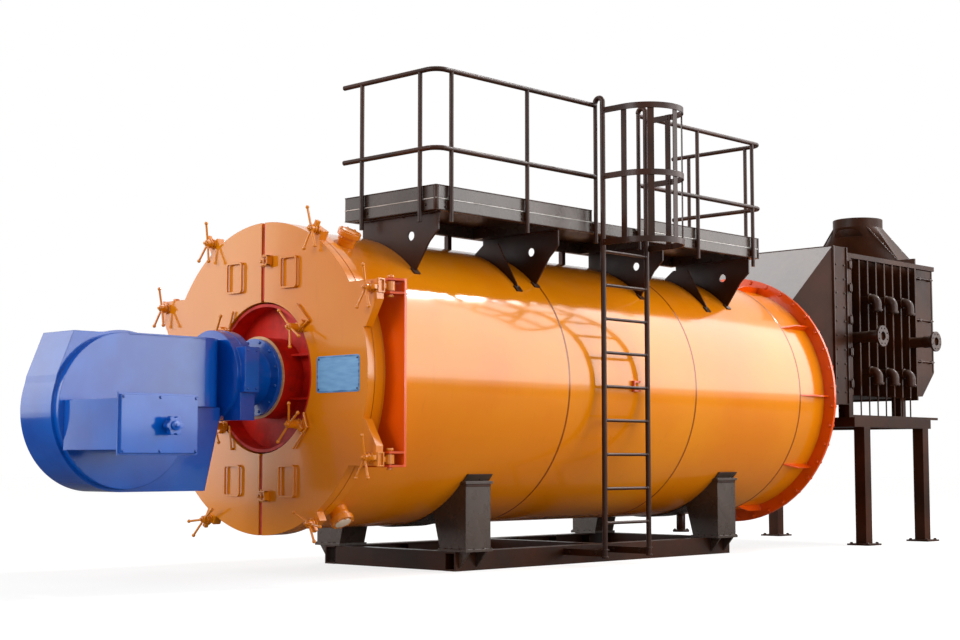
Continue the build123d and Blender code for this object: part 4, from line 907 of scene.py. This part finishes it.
# Flue hood and rear hood: collar bead, corner rods, base lips, side seams

hoodTrim = {
    "collarY": rowY(7935), "collarRadius": 0.253, "rodTop": 3.196,
    "collarBead": ((0.236, 3.284), (0.2545, 3.284), (0.2545, 3.291), (0.251, 3.293), (0.236, 3.291)),
    "baseY": rowY(7995), "rodFoot": (0.560, 0.148, 2.764), "rodLean": (0.20, 0.16), "rodRadius": 0.008,
    "lipX": (0.562, 0.590), "lipHalf": 0.150, "lipHeights": (2.7595, 2.7665),
    "seamX": (0.720, 0.726), "seams": ((7592, 7612, 1.435), (8128, 8148, 1.680)), "seamTop": 2.758,
}
shape = bmesh.new()
h = hoodTrim
collarY, baseY, radius = h["collarY"], h["baseY"], h["collarRadius"]
addRing(shape, h["collarBead"], 72, (0.0, collarY, 0.0), (0.0, 0.0, 1.0), (1.0, 0.0, 0.0))
(footX, footY, footZ), (leanX, leanY) = h["rodFoot"], h["rodLean"]
for side in (-1, 1):
    for way in (-1, 1):
        foot = (side * footX, baseY + way * footY, footZ)
        turn = math.atan2(way * leanY, side * leanX)
        top = (radius * math.cos(turn), collarY + radius * math.sin(turn), h["rodTop"])
        addRod(shape, foot, top, h["rodRadius"], 10)
    (inner, outer), (low, high), half = h["lipX"], h["lipHeights"], h["lipHalf"]
    addSlab(shape, (side * inner, baseY - half, low), (side * outer, baseY + half, high), 0.002)
    inner, outer = h["seamX"]
    for first, last, low in h["seams"]:
        addSlab(shape, (side * inner, rowY(first), low), (side * outer, rowY(last), h["seamTop"]), 0.002)
makePiece("hoodSeams", shape, "dark", "boiler", "flue_hood")
print("economiser trim made")


# Camera at the photograph's viewing angle

cameraView = {"place": (9.026, -10.159, 0.785), "look": (-0.6873, 0.7214, 0.0846), "lens": 62.18}


def addCamera(values):
    camera = bpy.data.objects.new("camera", bpy.data.cameras.new("camera"))
    camera.data.sensor_width = 36
    camera.data.lens = values["lens"]
    camera.data.clip_end = 200
    camera.location = values["place"]
    camera.rotation_euler = Vector(values["look"]).to_track_quat("-Z", "Y").to_euler()
    bpy.context.collection.objects.link(camera)
    bpy.context.scene.camera = camera


addCamera(cameraView)


# Studio: three broad suns, panels that the glossy paint reflects, white surroundings, pale floor

suns = {
    "highLamp": {"towards": (-0.22, -0.85, -0.85), "strength": 1.0, "angle": 3.0},
    "frontLamp": {"towards": (0.22, 1.0, -0.30), "strength": 1.35, "angle": 30.0},
    "sideLamp": {"towards": (-1.0, 0.22, -0.12), "strength": 0.65, "angle": 40.0},
}
panels = {
    "doorPanel": {"place": (-10.5, -8.2, 3.7), "aim": (0.0, -2.8, 1.2), "size": (5.4, 7.2), "power": 228.0},
    "burnerPanel": {"place": (13.5, 4.5, 4.2), "aim": (0.2, -4.0, 1.2), "size": (6.0, 6.0), "power": 400.0},
    "skyPanel": {"place": (7.3, 8.2, 7.0), "aim": (0.9, -1.0, 1.5), "size": (11.5, 11.5), "power": 1300.0},
    "roofPanel": {"place": (-5.0, 2.8, 11.0), "aim": (0.4, 3.0, 2.6), "size": (4.0, 4.0), "power": 260.0},
}
surroundings = {"fill": 0.42, "white": 1.0}
floorLook = {
    "half": 60.0, "pale": (0.84, 0.84, 0.83), "paler": (0.88, 0.88, 0.87),
    "glow": 1.16, "glowShare": 0.66, "bounce": (0.40,) * 3, "reflected": (0.14,) * 3,
}


def addSun(name, values):
    lamp = bpy.data.objects.new(name, bpy.data.lights.new(name, "SUN"))
    lamp.data.energy = values["strength"]
    lamp.data.angle = math.radians(values["angle"])
    lamp.rotation_euler = Vector(values["towards"]).to_track_quat("-Z", "Y").to_euler()
    bpy.context.collection.objects.link(lamp)


def addPanel(name, values):
    lamp = bpy.data.objects.new(name, bpy.data.lights.new(name, "AREA"))
    lamp.data.shape = "RECTANGLE"
    lamp.data.size, lamp.data.size_y = values["size"]
    lamp.data.energy = values["power"]
    lamp.location = values["place"]
    aim = Vector(values["aim"]) - Vector(values["place"])
    lamp.rotation_euler = aim.to_track_quat("-Z", "Y").to_euler()
    bpy.context.collection.objects.link(lamp)


def addWorld(values):
    world = bpy.data.worlds.new("studioWorld")
    bpy.context.scene.world = world
    world.use_nodes = True
    tree = world.node_tree
    back = tree.nodes["Background"]
    back.inputs["Color"].default_value = (1, 1, 1, 1)
    path = tree.nodes.new("ShaderNodeLightPath")
    white = path.outputs["Is Camera Ray"]  # white for camera, transmission and glossy rays
    for ray in ("Is Transmission Ray", "Is Glossy Ray"):
        either = tree.nodes.new("ShaderNodeMath")
        either.operation = "MAXIMUM"
        tree.links.new(white, either.inputs[0])
        tree.links.new(path.outputs[ray], either.inputs[1])
        white = either.outputs[0]
    level = tree.nodes.new("ShaderNodeMapRange")
    level.inputs["To Min"].default_value = values["fill"]
    level.inputs["To Max"].default_value = values["white"]
    tree.links.new(white, level.inputs["Value"])
    tree.links.new(level.outputs[0], back.inputs["Strength"])


def addFloor(values):
    shape = bmesh.new()
    bmesh.ops.create_grid(shape, x_segments=1, y_segments=1, size=values["half"])
    mesh = bpy.data.meshes.new("studioFloor")
    shape.to_mesh(mesh)
    shape.free()
    floor = bpy.data.objects.new("studioFloor", mesh)
    bpy.context.collection.objects.link(floor)
    g = PaintGraph("paleFloor")
    seen = g.node("ShaderNodeLightPath", {}, {}, "Is Camera Ray")
    shiny = g.node("ShaderNodeLightPath", {}, {}, "Is Glossy Ray")
    grey = g.blend(g.noise(2.0), values["pale"], values["paler"])
    matte = g.node("ShaderNodeBsdfDiffuse", {}, {"Color": grey})
    glow = g.node("ShaderNodeEmission", {}, {"Color": (1, 1, 1), "Strength": values["glow"]})
    pale = g.node("ShaderNodeMixShader", {}, {0: values["glowShare"], 1: matte, 2: glow})
    bounce = g.blend(shiny, values["bounce"], values["reflected"])
    shade = g.node("ShaderNodeBsdfDiffuse", {}, {"Color": bounce})
    both = g.node("ShaderNodeMixShader", {}, {0: seen, 1: shade, 2: pale})
    g.tree.links.new(both.socket, g.out.inputs["Surface"])
    floor.data.materials.append(g.material)


for name, values in suns.items():
    addSun(name, values)
for name, values in panels.items():
    addPanel(name, values)
addWorld(surroundings)
addFloor(floorLook)
bpy.context.scene.view_settings.view_transform = "Standard"
print("camera and studio ready")
